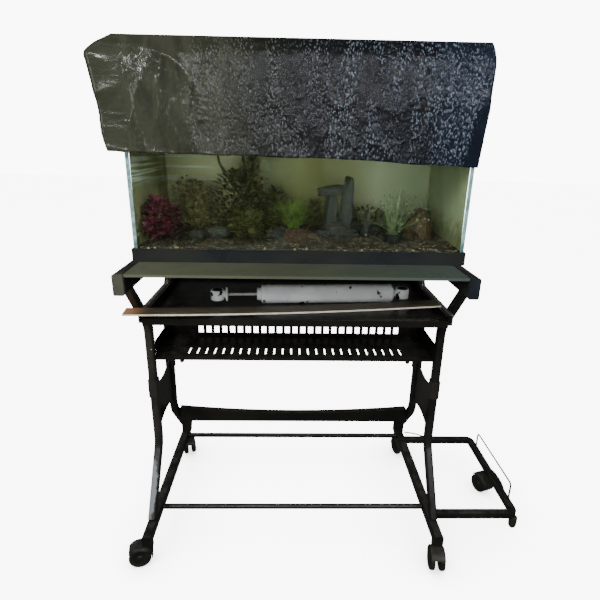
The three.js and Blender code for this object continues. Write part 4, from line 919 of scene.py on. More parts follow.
# %% Loose stones
rng = np.random.default_rng(11)
lump = np.array([[1, 0, 0], [-1, 0, 0], [0, 1, 0], [0, -1, 0], [0, 0, 1], [0, 0, -1]], float)
lump_faces = np.array([[0, 2, 4], [2, 1, 4], [1, 3, 4], [3, 0, 4], [2, 0, 5], [1, 2, 5], [3, 1, 5],
    [0, 3, 5]])
COUNT = 2600
sx, sy = rng.uniform(-half_x + 0.004, half_x - 0.004, COUNT), rng.uniform(-half_y + 0.004, half_y - 0.004,
    COUNT)
size = rng.uniform(0.0012, 0.0034, COUNT)
turns = rng.normal(size=(COUNT, 3, 3))
turns, _ = np.linalg.qr(turns)
shape = lump[None] * rng.uniform(0.6, 1.3, (COUNT, 6, 1)) * size[:, None, None]
shape = np.einsum("nij,nkj->nki", turns, shape) * [1, 1, 0.7]
spots = np.stack([sx, sy, bed_height(sx, sy) + size * 0.4], -1) + TANK
stones = (shape + spots[:, None]).reshape(-1, 3)
stone_faces = (lump_faces[None] + 6 * np.arange(COUNT)[:, None, None]).reshape(-1, 3)
tones = np.repeat(rng.uniform(0, 1, COUNT), 6)
pebble, make, shader, place = new_finish("loose_stone")
tone = make.add("ShaderNodeAttribute", attribute_name="tone").outputs["Fac"]
speck = make.noise(place, 900.0)
base = make.ramp(
    tone,
    [
        (0.0, "#120F0A"), (0.55, "#251F14"), (0.87, "#3A3120"),
        (0.96, "#74623E"), (0.99, "#8F8872"), (1.0, "#7A4A26"),
    ],
)
colour = make.mix(make.step(speck, 0.4, 0.7, 0.0, 0.4), base, linear("#2A261A"))
make.link(colour, shader.inputs["Base Color"])
shader.inputs["Roughness"].default_value = 0.6
build("loose_stones", [(stones, stone_faces)], pebble, smooth=False, tone=tones)

# %% [markdown]
# ## Rocks
# A rock is a ball pressed towards a box and roughened: each point of a latitude and longitude grid is
# pushed out until its coordinates' high power sum is one, then moved by ripples at three sizes.


# %% Rock shapes
def rock_part(centre, size, seed, boxy=4.0, turn=(0, 0, 0), rough=0.09, taper=0.0, rows=46, columns=64):
    """One rock: centre and full size in metres, turned by degrees about x, y and z."""
    v = np.linspace(0, np.pi, rows)[:, None]
    u = np.linspace(0, 2 * np.pi, columns, endpoint=False)[None]
    ball = np.stack([np.sin(v) * np.cos(u), np.sin(v) * np.sin(u), -np.cos(v) + 0 * u], -1)
    ball /= (np.abs(ball) ** boxy).sum(-1, keepdims=True) ** (1 / boxy)
    flow = ripple(ball[..., 0] + ball[..., 2], ball[..., 1] - ball[..., 2], 1.1, seed)
    flow = flow + 0.5 * ripple(ball[..., 0] - ball[..., 1], ball[..., 2], 0.45, seed + 1)
    flow = flow + 0.3 * np.abs(ripple(ball[..., 0], ball[..., 2] + ball[..., 1], 0.2, seed + 2))
    ball = ball * (1 + rough * flow * np.sin(v) ** 0.4)[..., None]
    ball[..., :2] *= (1 - taper * (ball[..., 2:] + 1) / 2)
    points = ball.reshape(-1, 3) * np.asarray(size) / 2
    for axis, degrees in enumerate(turn):
        a = math.radians(degrees)
        i, k = [(1, 2), (2, 0), (0, 1)][axis]
        p, q = points[:, i].copy(), points[:, k].copy()
        points[:, i], points[:, k] = p * math.cos(a) - q * math.sin(a), p * math.sin(a) + q * math.cos(a)
    return points + np.asarray(centre), grid_quads(rows, columns, True)


def weld(piece):
    """Joins the points that fall together at poles and seams."""
    import bmesh

    cut = bmesh.new()
    cut.from_mesh(piece.data)
    bmesh.ops.remove_doubles(cut, verts=cut.verts, dist=1e-6)
    bmesh.ops.recalc_face_normals(cut, faces=cut.faces)
    cut.to_mesh(piece.data)
    cut.free()
    return piece


def from_tank(x, y, z):
    """A place given in millimetres from the tank's middle, and its height over the floor."""
    return TANK + np.array([x, y, z]) / 1000


rock_finish = coated("dark_rock", "#0D0E08", "#1C1C12", "#37352A", 0.8, mottle=45.0, chip=140.0,
    share=0.16, dust=0.06, relief=1.0)
arch = [
    rock_part(from_tank(102, 0, 816), (0.094, 0.060, 0.044), 21, rough=0.12),
    rock_part(from_tank(78, -2, 872), (0.029, 0.034, 0.108), 22, 5, (0, 4, 20), 0.09, 0.1),
    rock_part(from_tank(79, -2, 932), (0.070, 0.034, 0.025), 23, 3, (0, -7, 8), 0.14),
    rock_part(from_tank(120, 0, 886), (0.033, 0.036, 0.156), 24, 4, (0, 3, -15), 0.1, 0.2),
    rock_part(from_tank(96, -6, 838), (0.070, 0.046, 0.036), 25, 3, (0, 0, 30), 0.14),
]
made = weld(build("stone_arch", arch, rock_finish))
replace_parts(made, "rock_arch")
pointed = [rock_part(from_tank(172, -10, 848), (0.024, 0.021, 0.088), 31, 2.2, (0, 3, 0), 0.12, 0.6)]
made = weld(build("standing_stone", pointed, rock_finish))
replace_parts(made, "pointed_stone")
extra = [
    rock_part(from_tank(150, 30, 832), (0.05, 0.04, 0.036), 33, 2.5),
    rock_part(from_tank(196, 20, 828), (0.045, 0.04, 0.034), 34, 2.5),
    rock_part(from_tank(56, -40, 826), (0.036, 0.03, 0.026), 35, 2.5),
    rock_part(from_tank(-60, -70, 832), (0.05, 0.04, 0.03), 36, 2.5),
    rock_part(from_tank(-200, -40, 828), (0.06, 0.045, 0.034), 37, 2.5),
    rock_part(from_tank(-250, -70, 824), (0.04, 0.03, 0.03), 38, 2.5),
]
weld(build("small_rocks", extra, rock_finish))

# %% [markdown]
# ## Shell cave
# Half a fruit shell with its fibres running up and over, and a dark doorway cut low at the front. The
# dome is a turned profile with fibre ripples, and the doorway is made by folding the wall inwards.

# %% Shell cave
shell_low, shell_high = corners("shell_cave")
shell_mid = (shell_low + shell_high) / 2 * [1, 1, 0]
v = np.linspace(0, 1, 60)[:, None]
u = np.linspace(0, 2 * np.pi, 160, endpoint=False)[None]
radius = 0.0362 * np.sqrt(np.clip(1 - (v * 0.985) ** 2.4, 0, 1)) + 0 * u
fibre = 0.0007 * np.sin(70 * u + 3 * np.sin(3 * u) + 5 * v) + 0.0008 * ripple(u * 0.4, v, 0.12, 41)
height = (shell_high[2] - shell_low[2] - 0.001) * v + 0 * u
door = smooth_step(np.hypot((u - 4.2) / 0.5, v / 0.42), 1.0, 0.8)
radius = (radius + fibre * (v < 0.97)) * (1 - 0.55 * door)
dome = np.stack([radius * np.cos(u), radius * np.sin(u), height + shell_low[2]], -1).reshape(-1,
    3) + shell_mid
cap = dome[-160:].mean(0, keepdims=True)
dome_faces = grid_quads(60, 160, True)
husk, make, shader, place = new_finish("shell_husk")
stretch = make.stretched(place, (260.0, 260.0, 22.0))
fibres = make.noise(stretch, 1.0, 5.0)
slow = make.noise(place, 60.0, 5.0)
colour = make.mix(make.step(fibres, 0.35, 0.65), linear("#22190E"), linear("#57452A"))
colour = make.mix(make.step(slow, 0.45, 0.7, 0.0, 0.7), colour, linear("#2A2816"))
make.link(colour, shader.inputs["Base Color"])
shader.inputs["Roughness"].default_value = 0.8
make.relief(shader, 0.6, 0.001, fibres)
made = build("husk_dome", [(np.concatenate([dome, cap]), dome_faces,
    fan(59 * 160 + np.arange(160), 9600))], husk)
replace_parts(made, "shell_cave")

# %% [markdown]
# ## Pot and driftwood
# The pot is a turned shape with a rolled lip. Driftwood is round sticks whose thickness and line both
# wander, with a fibrous bark relief.

# %% Pot
pot_low, pot_high = corners("plant_pot")
pot_mid = (pot_low + pot_high) / 2 * [1, 1, 0] + [0, 0, pot_low[2]]
pot_profile = [(0, 0), (0.018, 0), (0.019, 0.001), (0.0232, 0.034), (0.024, 0.0365), (0.0235, 0.038),
    (0.022, 0.0375),
               (0.021, 0.035), (0.014, 0.034), (0, 0.0345)]
dark_pot = coated("dark_pot", "#0D0E0C", "#151613", "#2C2B25", 0.45, mottle=40.0, share=0.06, dust=0.1)
made = build("round_pot", [turned_shape(pot_profile, "z", pot_mid, 48)], dark_pot)
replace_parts(crisp(made, 45), "plant_pot")


# %% Driftwood
def stick(knots, thick, thin, seed):
    """A tapering stick through knots given from the tank's middle, with a wandering surface."""
    path = spline_through(np.array([from_tank(*k) for k in knots]), 60)
    s = np.linspace(0, 1, 60)
    wobble = 1 + 0.16 * ripple(s * 6, s, 0.6, seed)
    points, quads, ends = sweep(path, circle(1.0, 22), side=(0.2, 1, 0.1),
        scale=(thick + (thin - thick) * s) * wobble)
    ridge = 0.0006 * np.sin(np.tile(np.arange(22), 60) * 5.1 + np.repeat(s, 22) * 9)
    points[:-2, 0] += ridge
    points[:-2, 1] += ridge
    return points, quads, ends


bark, make, shader, place = new_finish("wet_bark")
twist = make.noise(place, 110.0, 8.0, Distortion=1.5)
moss = make.noise(place, 30.0, 5.0)
colour = make.mix(make.step(twist, 0.35, 0.65), linear("#221C10"), linear("#463C24"))
colour = make.mix(make.step(moss, 0.48, 0.62), colour, linear("#3C4520"))
make.link(colour, shader.inputs["Base Color"])
shader.inputs["Roughness"].default_value = 0.8
make.relief(shader, 0.9, 0.002, twist)
sticks = [
    stick([(-92, 46, 832), (-120, 50, 866), (-152, 52, 912), (-184, 48, 958), (-198, 40, 980)], 0.0085,
    0.004, 51),
    stick([(-156, 51, 918), (-142, 60, 958), (-146, 64, 1008), (-134, 60, 1044)], 0.0055, 0.0025, 52),
    stick([(-220, 46, 828), (-190, 52, 862), (-170, 54, 892), (-156, 51, 914)], 0.0065, 0.0045, 53),
    stick([(-186, 46, 962), (-206, 56, 990), (-212, 62, 1030)], 0.0035, 0.0018, 54),
    stick([(-150, 40, 836), (-128, 24, 850), (-96, 10, 852), (-70, 6, 846)], 0.007, 0.003, 55),
]
made = build("driftwood_sticks", sticks, bark)
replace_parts(made, "driftwood")

# %% [markdown]
# ## Plants
# Every leaf is a narrow blade: its midrib is an arc that leaves the root in one direction and bends over
# as it goes, and its width follows a curve along it. All blades of a plant are worked out at once.


# %% Leaves
def blades(roots, headings, lengths, lean, bend, widths, shape, rows=9, fold=0.25):
    """Blades as one part. Headings are compass angles in radians, lean the tilt from upright at the root
    and bend how much more it tilts by the tip, also in radians; shape gives the width share along it."""
    n = len(lengths)
    t = np.linspace(0, 1, rows)
    tilt = lean[:, None] + bend[:, None] * t
    step = lengths[:, None] / (rows - 1)
    out = np.cumsum(np.sin(tilt) * step, 1) - np.sin(tilt[:, :1]) * step
    up = np.cumsum(np.cos(tilt) * step, 1) - np.cos(tilt[:, :1]) * step
    flat = np.stack([np.cos(headings), np.sin(headings), 0 * headings], -1)
    side = np.stack([-np.sin(headings), np.cos(headings), 0 * headings], -1)
    rib = roots[:, None] + out[..., None] * flat[:, None] + up[..., None] * np.array([0, 0, 1.0])
    half = (widths[:, None] * shape(t))[..., None] * side[:, None] / 2
    lift = fold * np.abs(half).max(-1, keepdims=True) * np.array([0, 0, 1.0])
    points = np.stack([rib - half + lift, rib, rib + half + lift], 2).reshape(-1, 3)
    one = grid_quads(rows, 3)
    quads = (one[None] + (rows * 3 * np.arange(n))[:, None, None]).reshape(-1, 4)
    return points, quads


def leaf_finish(name, dark, light, rib, roughness=0.5):
    """A leaf: two greens in slow patches, with fine flecks of its rib's colour."""
    made, make, shader, place = new_finish(name)
    slow = make.noise(place, 60.0, 5.0)
    fine = make.noise(place, 400.0, 3.0)
    colour = make.mix(make.step(slow, 0.35, 0.65), linear(dark), linear(light))
    colour = make.mix(make.step(fine, 0.55, 0.75, 0.0, 0.5), colour, linear(rib))
    make.link(colour, shader.inputs["Base Color"])
    shader.inputs["Roughness"].default_value = roughness
    make.relief(shader, 0.3, 0.0008, fine)
    return made


def narrow(t):
    """Width of a grass blade: full at a quarter, pointed at the tip."""
    return np.sqrt(np.clip(t + 0.15, 0, 1)) * (1 - t) ** 0.7 + 0.02


def lens(t):
    """Width of a broad leaf on a thin stalk."""
    return 0.08 + 0.92 * np.sin(np.pi * np.clip((t - 0.25) / 0.75, 0, 1)) ** 0.8


def even(t):
    """Width of a thin stem."""
    return 1 - 0.3 * t


def scatter(rng, n, low, high):
    """n even random numbers."""
    return rng.uniform(low, high, n)


# %% Grass plant
rng = np.random.default_rng(5)
n = 150
grass_root = from_tank(-14, -36, 1000 * float(bed_height(-0.014, -0.036)) - 2)
roots = grass_root + np.stack([scatter(rng, n, -0.012, 0.012), scatter(rng, n, -0.010, 0.010),
    0 * np.arange(n)], -1)
grass = blades(
    roots, scatter(rng, n, 0, 2 * np.pi), scatter(rng, n, 0.055, 0.112), scatter(rng, n, 0.1, 0.75),
    scatter(rng, n, 0.3, 1.1), scatter(rng, n, 0.0025, 0.005), narrow, 10,
)
green = leaf_finish("grass_leaf", "#33431A", "#6E8A33", "#93A04E")
made = build("grass_tuft", [grass], green)
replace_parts(made, "grass_plant")

# %% Stem plant
n = 70
heading, lean = scatter(rng, n, 0, 2 * np.pi), scatter(rng, n, 0.1, 1.15)
length = scatter(rng, n, 0.06, 0.118)
stem_root = from_tank(230, -60, 1000 * pot_high[2] - 3)
roots = stem_root + np.stack([scatter(rng, n, -0.01, 0.01), scatter(rng, n, -0.01, 0.01), 0 * heading], -1)
stems = blades(roots, heading, length, lean, scatter(rng, n, -0.1, 0.35), np.full(n, 0.0018), even, 7)
tips = stems[0].reshape(n, 7, 3, 3)[:, -1, 1]
dot = (lump[None] * scatter(rng, n, 0.0022, 0.0036)[:, None, None] * [1, 1, 0.8] + tips[:,
    None]).reshape(-1, 3)
dots = (dot, (lump_faces[None] + 6 * np.arange(n)[:, None, None]).reshape(-1, 3))
m = 16
leaves = blades(
    stem_root + np.stack([scatter(rng, m, -0.012, 0.012), scatter(rng, m, -0.012, 0.012),
    scatter(rng, m, 0, 0.02)], -1),
    scatter(rng, m, 0, 2 * np.pi), scatter(rng, m, 0.015, 0.035), scatter(rng, m, 0.5, 1.3),
    scatter(rng, m, 0.1, 0.8),
    scatter(rng, m, 0.005, 0.009), lens, 7,
)
pale = leaf_finish("pale_stem", "#4E5C3C", "#8A9668", "#A9AE82")
made = build("stem_tuft", [stems, dots, leaves], pale)
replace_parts(made, "stem_plant")


# %% [markdown]
# Bushes are rosettes of broad leaves whose roots are set at random in an upright oval.


# %% Leafy bushes
def bush(seed, middle, spread, height, leaf_length, leaf_width, count):
    """Broad leaves whose roots fill an upright oval, looking outwards."""
    rng = np.random.default_rng(seed)
    heading = rng.uniform(0, 2 * np.pi, count)
    out = np.sqrt(rng.uniform(0, 1, count))
    rise = rng.uniform(0, 1, count)
    reach = np.sin(np.pi * np.clip(0.15 + 0.8 * rise, 0, 1)) * out
    roots = np.asarray(middle) + np.stack(
        [spread[0] * reach * np.cos(heading), spread[1] * reach * np.sin(heading), height * rise], -1
    )
    return blades(
        roots, heading, leaf_length * rng.uniform(0.6, 1.2, count), rng.uniform(0.3, 1.2, count),
        rng.uniform(0.2, 1.2, count), leaf_width * rng.uniform(0.7, 1.2, count), lens, 8,
    )


olive = leaf_finish("olive_leaf", "#26290F", "#4C4E22", "#6F6C38")
red = leaf_finish("red_leaf", "#35121B", "#6A2334", "#8C4A4A")
feather = leaf_finish("feather_leaf", "#4A4522", "#8A8150", "#B9AE7C")
made = build(
    "leafy_bush",
    [
        bush(61, from_tank(-122, -92, 826), (0.034, 0.026), 0.050, 0.030, 0.017, 90),
        bush(62, from_tank(-90, -60, 828), (0.020, 0.020), 0.040, 0.030, 0.017, 40),
    ],
    olive,
)
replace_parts(made, "leafy_plant")
build(
    "back_bushes",
    [
        bush(63, from_tank(-170, 40, 826), (0.070, 0.030), 0.140, 0.024, 0.011, 420),
        bush(64, from_tank(-130, 70, 850), (0.050, 0.030), 0.150, 0.022, 0.009, 260),
        bush(65, from_tank(-60, 90, 828), (0.060, 0.024), 0.090, 0.022, 0.009, 220),
        bush(66, from_tank(40, 110, 830), (0.060, 0.016), 0.060, 0.020, 0.008, 160),
        bush(67, from_tank(180, 100, 830), (0.080, 0.016), 0.045, 0.020, 0.008, 160),
        bush(68, from_tank(270, 60, 830), (0.050, 0.016), 0.030, 0.018, 0.008, 100),
    ],
    olive,
)
made = build(
    "red_bush",
    [
        bush(71, from_tank(-330, -98, 826), (0.030, 0.030), 0.085, 0.026, 0.013, 240),
        bush(72, from_tank(-318, -60, 826), (0.026, 0.030), 0.070, 0.024, 0.012, 120),
    ],
    red,
)
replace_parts(made, "red_plant")
build(
    "feather_bush",
    [
        bush(73, from_tank(-262, 20, 826), (0.048, 0.036), 0.110, 0.022, 0.008, 420),
        bush(74, from_tank(-300, 60, 830), (0.036, 0.030), 0.120, 0.020, 0.007, 260),
    ],
    feather,
)

# %% [markdown]
# ## Airline and its stone
# The hose is a plain round tube along the route worked out at the start. The stone is a small drum of
# sintered grit.

# %% Airline
hose = coated("air_hose", "#2B3034", "#3A4042", "#50544F", 0.4, mottle=60.0, share=0.02, dust=0.1)
airline = build("air_hose", [sweep(airline_path, circle(AIRLINE_DIAMETER / 2, 14), side=(1, 0, 0))], hose)
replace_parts(airline, "airline")
grit = coated("sintered_grit", "#46525A", "#5B676D", "#7F8A8C", 0.9, mottle=200.0, chip=400.0, share=0.2,
    dust=0.2, relief=1.0)
wear_it(["air_stone"], grit)

# %% [markdown]
# ## Water
# The water is still and a little green. It is a closed block that adds a thin olive haze where a line of
# sight enters it, and bends nothing, so that the planting keeps its place.

# %% Water block
veil, make, shader, place = new_finish("green_water")
haze = make.noise(place, 5.0, 3.0)
colour = make.mix(make.step(haze, 0.3, 0.7), linear("#4E5024"), linear("#5E6032"))
make.link(colour, shader.inputs["Base Color"])
make.link(make.step(haze, 0.3, 0.7, 0.02, 0.045), shader.inputs["Alpha"])
shader.inputs["Roughness"].default_value = 0.3
shader.inputs["Specular IOR Level"].default_value = 0.0
WATER_LEVEL = pane_high[2] - 0.045
x0, x1 = left_high[0] + 0.0006, right_low[0] - 0.0006
y0, y1 = corners("pane_front")[1][1] + 0.0006, pane_low[1] - 0.0006
t = np.linspace(0, 1, 40)
wx, wy = np.meshgrid(x0 + (x1 - x0) * t, y0 + (y1 - y0) * t)
calm = WATER_LEVEL + 0.0004 * ripple(wx, wy, 0.12, 81)
lid = np.stack([wx, wy, calm], -1).reshape(-1, 3)
ring = np.concatenate([np.arange(40), np.arange(1, 40) * 40 + 39, 39 * 40 + np.arange(38, -1, -1),
    np.arange(38, 0, -1) * 40])
foot = lid[ring] * [1, 1, 0] + [0, 0, bed_low[2] + 0.001]
lower = 1600 + np.arange(len(ring))
sides = np.stack([lower, np.roll(lower, -1), np.roll(ring, -1), ring], -1)
centre = np.array([[(x0 + x1) / 2, (y0 + y1) / 2, bed_low[2] + 0.001]])
block = (np.concatenate([lid, foot, centre]), np.concatenate([grid_quads(40, 40), sides]),
    fan(lower, 1600 + len(ring), True))
build("water_block", [block], veil)

# %% [markdown]
# ## Plastic sheet
# A black plastic sheet with a pressed leather pattern lies over the hood and hangs down on all sides.
# Its surface is worked out ring by ring: the upper rings close in over the hood's top, the lower ones
# drop to the hem. The hem slants, the front left corner stands out as a fold, and creases, slow buckles
# and the pressed pattern are added along the surface's own direction.

# %% Sheet surface
hood_low, hood_high = corners("hood")
half_w = (hood_high[0] - hood_low[0]) / 2 + 0.0012
half_d = (hood_high[1] - hood_low[1]) / 2 + 0.0012
top_z = hood_high[2] + 0.0016
HEM_LEFT, HEM_RIGHT = 1.019, 0.9995
SHEET_THICKNESS = 0.0004
around = 520
perimeter = 4 * (half_w + half_d)
s = np.arange(around) / around * perimeter
legs_at = np.cumsum([0, 2 * half_w, 2 * half_d, 2 * half_w])
px = np.select(
    [s < legs_at[1], s < legs_at[2], s < legs_at[3]],
    [-half_w + s, np.full(around, half_w), half_w - (s - legs_at[2])], np.full(around, -half_w),
)
py = np.select(
    [s < legs_at[1], s < legs_at[2], s < legs_at[3]],
    [np.full(around, -half_d), -half_d + (s - legs_at[1]), np.full(around, half_d)],
    half_d - (s - legs_at[3]),
)


def facing(values, half, width=0.02):
    """How far a place belongs to the side at +half: 1 on it, 0 away from it, soft at the corner."""
    return smooth_step(values, half - width, half - 0.0005)


front, back = facing(-py, half_d), facing(py, half_d)
left, right = facing(-px, half_w), facing(px, half_w)
drop = np.linspace(0, 1, 66)[:, None]
hem = HEM_LEFT + (HEM_RIGHT - HEM_LEFT) * np.clip(px / 0.762 + 0.5, 0, 1) ** 2
hem = hem + 0.0022 * ripple(px, py, 0.16, 90) - 0.001
z = top_z + (hem - top_z) * drop
clear = np.sin(np.pi / 2 * np.clip(drop * 5, 0, 1))
tuck = np.clip(1 - (1 - drop) / 0.5, 0, 1) * smooth_step(px, 0, half_w)
corner = left * front
flare = 0.033 * (0.3 + 0.7 * np.clip((1 - drop) / 0.84, 0, 1)) * np.clip(-py / half_d, 0, 1) ** 1.2
wave = ripple(px + py, z, 0.085, 91)
crease = 1 - np.abs(ripple(px * 1.3 - py, z * 0.7, 0.12, 92))
stand_front = (0.0185 + 0.0016 * wave + 0.0028 * crease**6) * (1 - 0.87 * tuck)
fold_lines = sum(
    a * np.exp(-(((px - x0 - slope * (z - 1.1)) / w) ** 2))
    for x0, slope, w, a in ((-0.195, 0.03, 0.004, 0.0034), (0.126, -0.02, 0.0035, 0.0032),
    (0.215, 0.02, 0.003, -0.002),
                            (-0.02, 0.03, 0.003, 0.0014), (0.05, -0.03, 0.003, -0.0012),
                            (0.30, 0.05, 0.004, 0.0024))
)
arc = np.hypot((px + 0.36) / 0.155, (z - 1.10) / 0.125)
fold_lines = fold_lines + 0.004 * np.exp(-(((arc - 1.0) / 0.05) ** 2)) * (px < -0.19) * (z > 1.08)
stand_front = stand_front + fold_lines * front * (1 - tuck)
out_y = -stand_front * front + (0.009 + 0.002 * wave + 0.0025 * crease**6) * back
out_x = -(0.0165 + flare + 0.003 * wave * left) * left + (
    (0.0052 + 0.0006 * wave + 0.002 * crease**6) * (1 - tuck) + 0.0026 * tuck
) * right
sx = px + out_x * clear
sy = py + out_y * clear
grain = 0.00035 * ripple(s[None] + 0 * z, z, 0.011, 93, 14) * smooth_step(drop, 0.02, 0.1)
sx = sx + grain * (right - left)
sy = sy + grain * (back - front)
walls = np.stack([sx, sy, z + 0 * sx], -1)[::-1]
shrink = np.linspace(0, 1, 18)[1:][:, None]
core = half_w - half_d
lid_x = px + (np.clip(px, -core, core) - px) * shrink
lid_y = py * (1 - shrink)
soft = smooth_step(shrink, 0, 0.25)
lid_z = top_z + soft * (
    0.0012 + 0.0012 * ripple(lid_x, lid_y, 0.07, 94) + 0.0016 * np.abs(ripple(lid_x, lid_y, 0.13, 95))
)
lid = np.stack([lid_x, lid_y, lid_z], -1)
whole = np.concatenate([walls, lid])
length_v = np.r_[np.linspace(0, 0.225, 66), 0.225 + np.linspace(0, 0.154, 18)[1:]]
cut = np.stack([np.broadcast_to(s, whole.shape[:2]), np.broadcast_to(length_v[:, None], whole.shape[:2])], -1)
whole = whole + TANK

# %% [markdown]
# The pressed pattern is small raised cells, longer than wide. It is shiny, so each cell catches the
# light by itself. The cell tops also carry painted glints, pale grey to blue-grey, in patches and more so to
# the right, and the left end is pulled smooth. The olive tone of the left end is a painted reflection.

# %% Sheet finish
sheet_black, make, shader, place = new_finish("pressed_plastic")
flat_map = make.add("ShaderNodeUVMap", uv_map="cut").outputs[0]
cells_at = make.stretched(flat_map, (250.0, 150.0, 1.0))
swirl = make.add("ShaderNodeTexNoise", {"Vector": flat_map, "Scale": 40.0, "Detail": 3.0}).outputs["Color"]
bent = make.add("ShaderNodeVectorMath", {0: cells_at, 1: swirl}, operation="ADD").outputs[0]
cells = make.add("ShaderNodeTexVoronoi", {"Vector": bent, "Scale": 1.0}, feature="SMOOTH_F1").outputs[0]
fine = make.noise(flat_map, 420.0, 4.0)
hung = make.stretched(flat_map, (1.5, 0.55, 1.0))
buckle = make.noise(hung, 24.0, 3.0, Distortion=0.6)
parts = make.add("ShaderNodeSeparateXYZ", {0: flat_map}).outputs
along, up = parts[0], parts[1]
smooth_edge = make.math("SUBTRACT", along, make.math("MULTIPLY", up, 0.15))
pulled = make.math("MULTIPLY", make.step(smooth_edge, 0.718, 0.734),
    make.step(smooth_edge, 0.77, 0.78, 1.0, 0.0))
pressed = make.math("MULTIPLY", make.step(along, 0.12, 0.2, 0.08, 1.0),
    make.math("SUBTRACT", 1.0, make.math("MULTIPLY", pulled, 0.95)))
height = make.math("MULTIPLY", make.math("ADD", cells, make.math("MULTIPLY", fine, 0.35)), pressed)
height = make.math("ADD", height, make.math("MULTIPLY", buckle, 1.3))
make.relief(shader, 1.0, 0.003, height)
# Base along the sheet: olive at the left end, a painted reflection, then near black, and dark blue at the
# right end.
base = make.ramp(make.step(along, 0.0, 0.76), [
    (0.0, "#34362A"), (0.2, "#2E2F24"), (0.32, "#15160F"),
    (0.6, "#0D0E0E"), (0.93, "#0A0C10"), (0.97, "#121A26"),
])
base = make.mix(make.step(buckle, 0.35, 0.65, 0.0, 0.35), base, linear("#070707"))
streak_at = make.stretched(flat_map, (1.0, 0.16, 1.0))
streaks = make.noise(streak_at, 26.0, 2.0)
# Painted glints: the cell tops are mixed towards pale grey and blue-grey in patches.
ridge = make.step(cells, 0.42, 0.16)
painted_glint_patches = make.math("MULTIPLY", make.step(fine, 0.3, 0.6, 0.1, 1.0), make.step(streaks, 0.38, 0.6, 0.16, 1.0))
ridge = make.math("MULTIPLY", make.math("MULTIPLY", ridge, painted_glint_patches),
    make.math("MULTIPLY", pressed, make.step(along, 0.1, 0.66, 0.3, 0.7)))
base = make.mix(ridge, base, make.mix(make.step(along, 0.2, 0.6), linear("#6E746C"), linear("#7E8E9E")))
make.link(base, shader.inputs["Base Color"])
make.link(make.step(fine, 0.3, 0.7, 0.13, 0.24), shader.inputs["Roughness"])
shader.inputs["IOR"].default_value = 1.6

# %% Sheet piece
rows = len(whole)
points = whole.reshape(-1, 3)
faces = grid_quads(rows, around, True)
mesh_uv = cut.reshape(-1, 2)
cover = build("plastic_sheet", [(points, faces)], sheet_black, "cover", uv=mesh_uv)
thick = cover.modifiers.new("thickness", "SOLIDIFY")
thick.thickness = SHEET_THICKNESS
thick.offset = 1.0
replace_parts(cover, "cover_sheet")

# %% [markdown]
# ## Floor and light
# A wide pale floor, a white surround, a large soft light from the upper left that throws the shadows to
# the right, a low one in front, a card at the left, and a row of small bright ones in front. The
# floor shines by itself, and its light dims near what stands on it: a painted contact shadow.

# %% Floor
floor_finish, make, shader, place = new_finish("studio_floor")
speck = make.noise(place, 3.0)
make.link(make.mix(speck, (0.86, 0.86, 0.86, 1), (0.88, 0.88, 0.88, 1)), shader.inputs["Base Color"])
shader.inputs["Roughness"].default_value = 0.9
shader.inputs["Emission Color"].default_value = (1, 1, 1, 1)
# Painted contact shadow: occlusion dims the floor's emission near what stands on it.
near = make.add("ShaderNodeAmbientOcclusion", {"Distance": 0.22}, samples=4).outputs["AO"]
make.link(make.step(near, 0.35, 1.0, 2.2, 8.0), shader.inputs["Emission Strength"])
floor_mesh = bpy.data.meshes.new("studio_floor")
FLOOR_HALF = 14.0
floor_corners = [(x * FLOOR_HALF, y * FLOOR_HALF, 0) for x, y in ((-1, -1), (1, -1), (1, 1), (-1, 1))]
floor_mesh.from_pydata(floor_corners, [], [(0, 1, 2, 3)])
floor_mesh.materials.append(floor_finish)
floor = bpy.data.objects.new("studio_floor", floor_mesh)
bpy.context.scene.collection.objects.link(floor)
floor.visible_glossy = False
floor.visible_diffuse = False

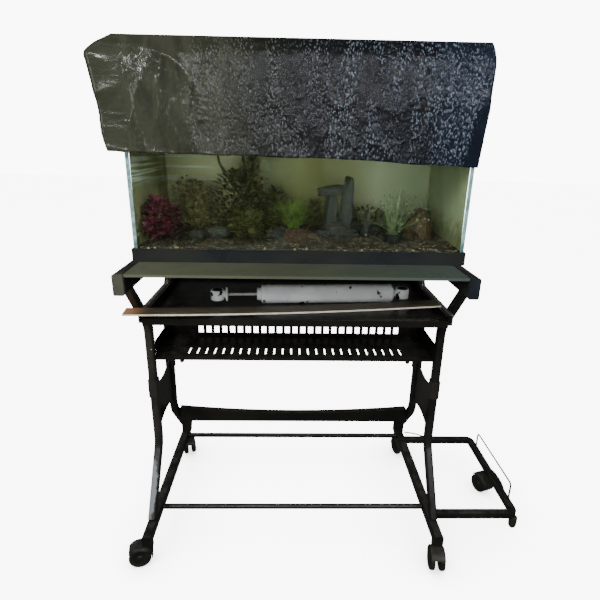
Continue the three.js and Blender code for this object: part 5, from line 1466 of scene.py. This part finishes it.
# %% Light
world = bpy.data.worlds.new("studio")
world.use_nodes = True
make = Nodes(world.node_tree)
sky = world.node_tree.nodes["Background"]
path = make.add("ShaderNodeLightPath").outputs
bounced = make.math("ADD", path["Diffuse Depth"], path["Glossy Depth"])
first = make.math("SUBTRACT", 1.0, make.math("MINIMUM", bounced, 1.0))
passed = make.math("MULTIPLY", path["Is Transmission Ray"], first)
seen = make.math("MULTIPLY", make.math("MAXIMUM", path["Is Camera Ray"], passed), 9.0)
glossy = make.math("MULTIPLY", path["Is Glossy Ray"], -0.5)
power = make.math("ADD", make.math("ADD", seen, glossy), 0.56)
sky.inputs[0].default_value = (1.0, 1.0, 1.0, 1)
make.link(power, sky.inputs[1])
bpy.context.scene.world = world


def area_light(name, place, aim, size, power, colour=(1, 1, 1)):
    """A square soft light at a place, aimed at another."""
    data = bpy.data.lights.new(name, "AREA")
    data.shape = "SQUARE"
    data.size = size
    data.energy = power
    data.color = colour
    made = bpy.data.objects.new(name, data)
    bpy.context.scene.collection.objects.link(made)
    away = np.asarray(place, float) - np.asarray(aim, float)
    away /= np.linalg.norm(away)
    right = np.cross([0, 0, 1.0], away)
    right /= np.linalg.norm(right)
    turn = np.eye(4)
    turn[:3, 0], turn[:3, 1], turn[:3, 2], turn[:3, 3] = right, np.cross(away, right), away, place
    made.matrix_world = Matrix(turn.tolist())
    return made


area_light("key", MID + [-1.6, -1.9, 2.7], MID + [0, 0, 0.6], 1.2, 70).visible_glossy = False
area_light("low_front", MID + [-0.5, -2.2, 1.0], MID + [0, -0.1, 0.7], 0.7, 14).visible_glossy = False
area_light("left_card", MID + [-1.9, -1.3, 1.5], MID + [-0.3, -0.2, 1.1], 0.9, 5, (0.97, 1.0, 0.9))
GLINT_SIZE = 0.16
for k in range(5):
    across = -1.1 + 0.75 * k
    cool = 1.0 - 0.05 * k
    glint_place, glint_aim = MID + [across, -2.1, 1.8 + 0.3 * (k % 2)], MID + [0.15 * k - 0.3, -0.2, 1.1]
    area_light(f"glint_{k}", glint_place, glint_aim, GLINT_SIZE, 4.0 + 1.6 * k, (cool, cool + 0.02, 1.0))
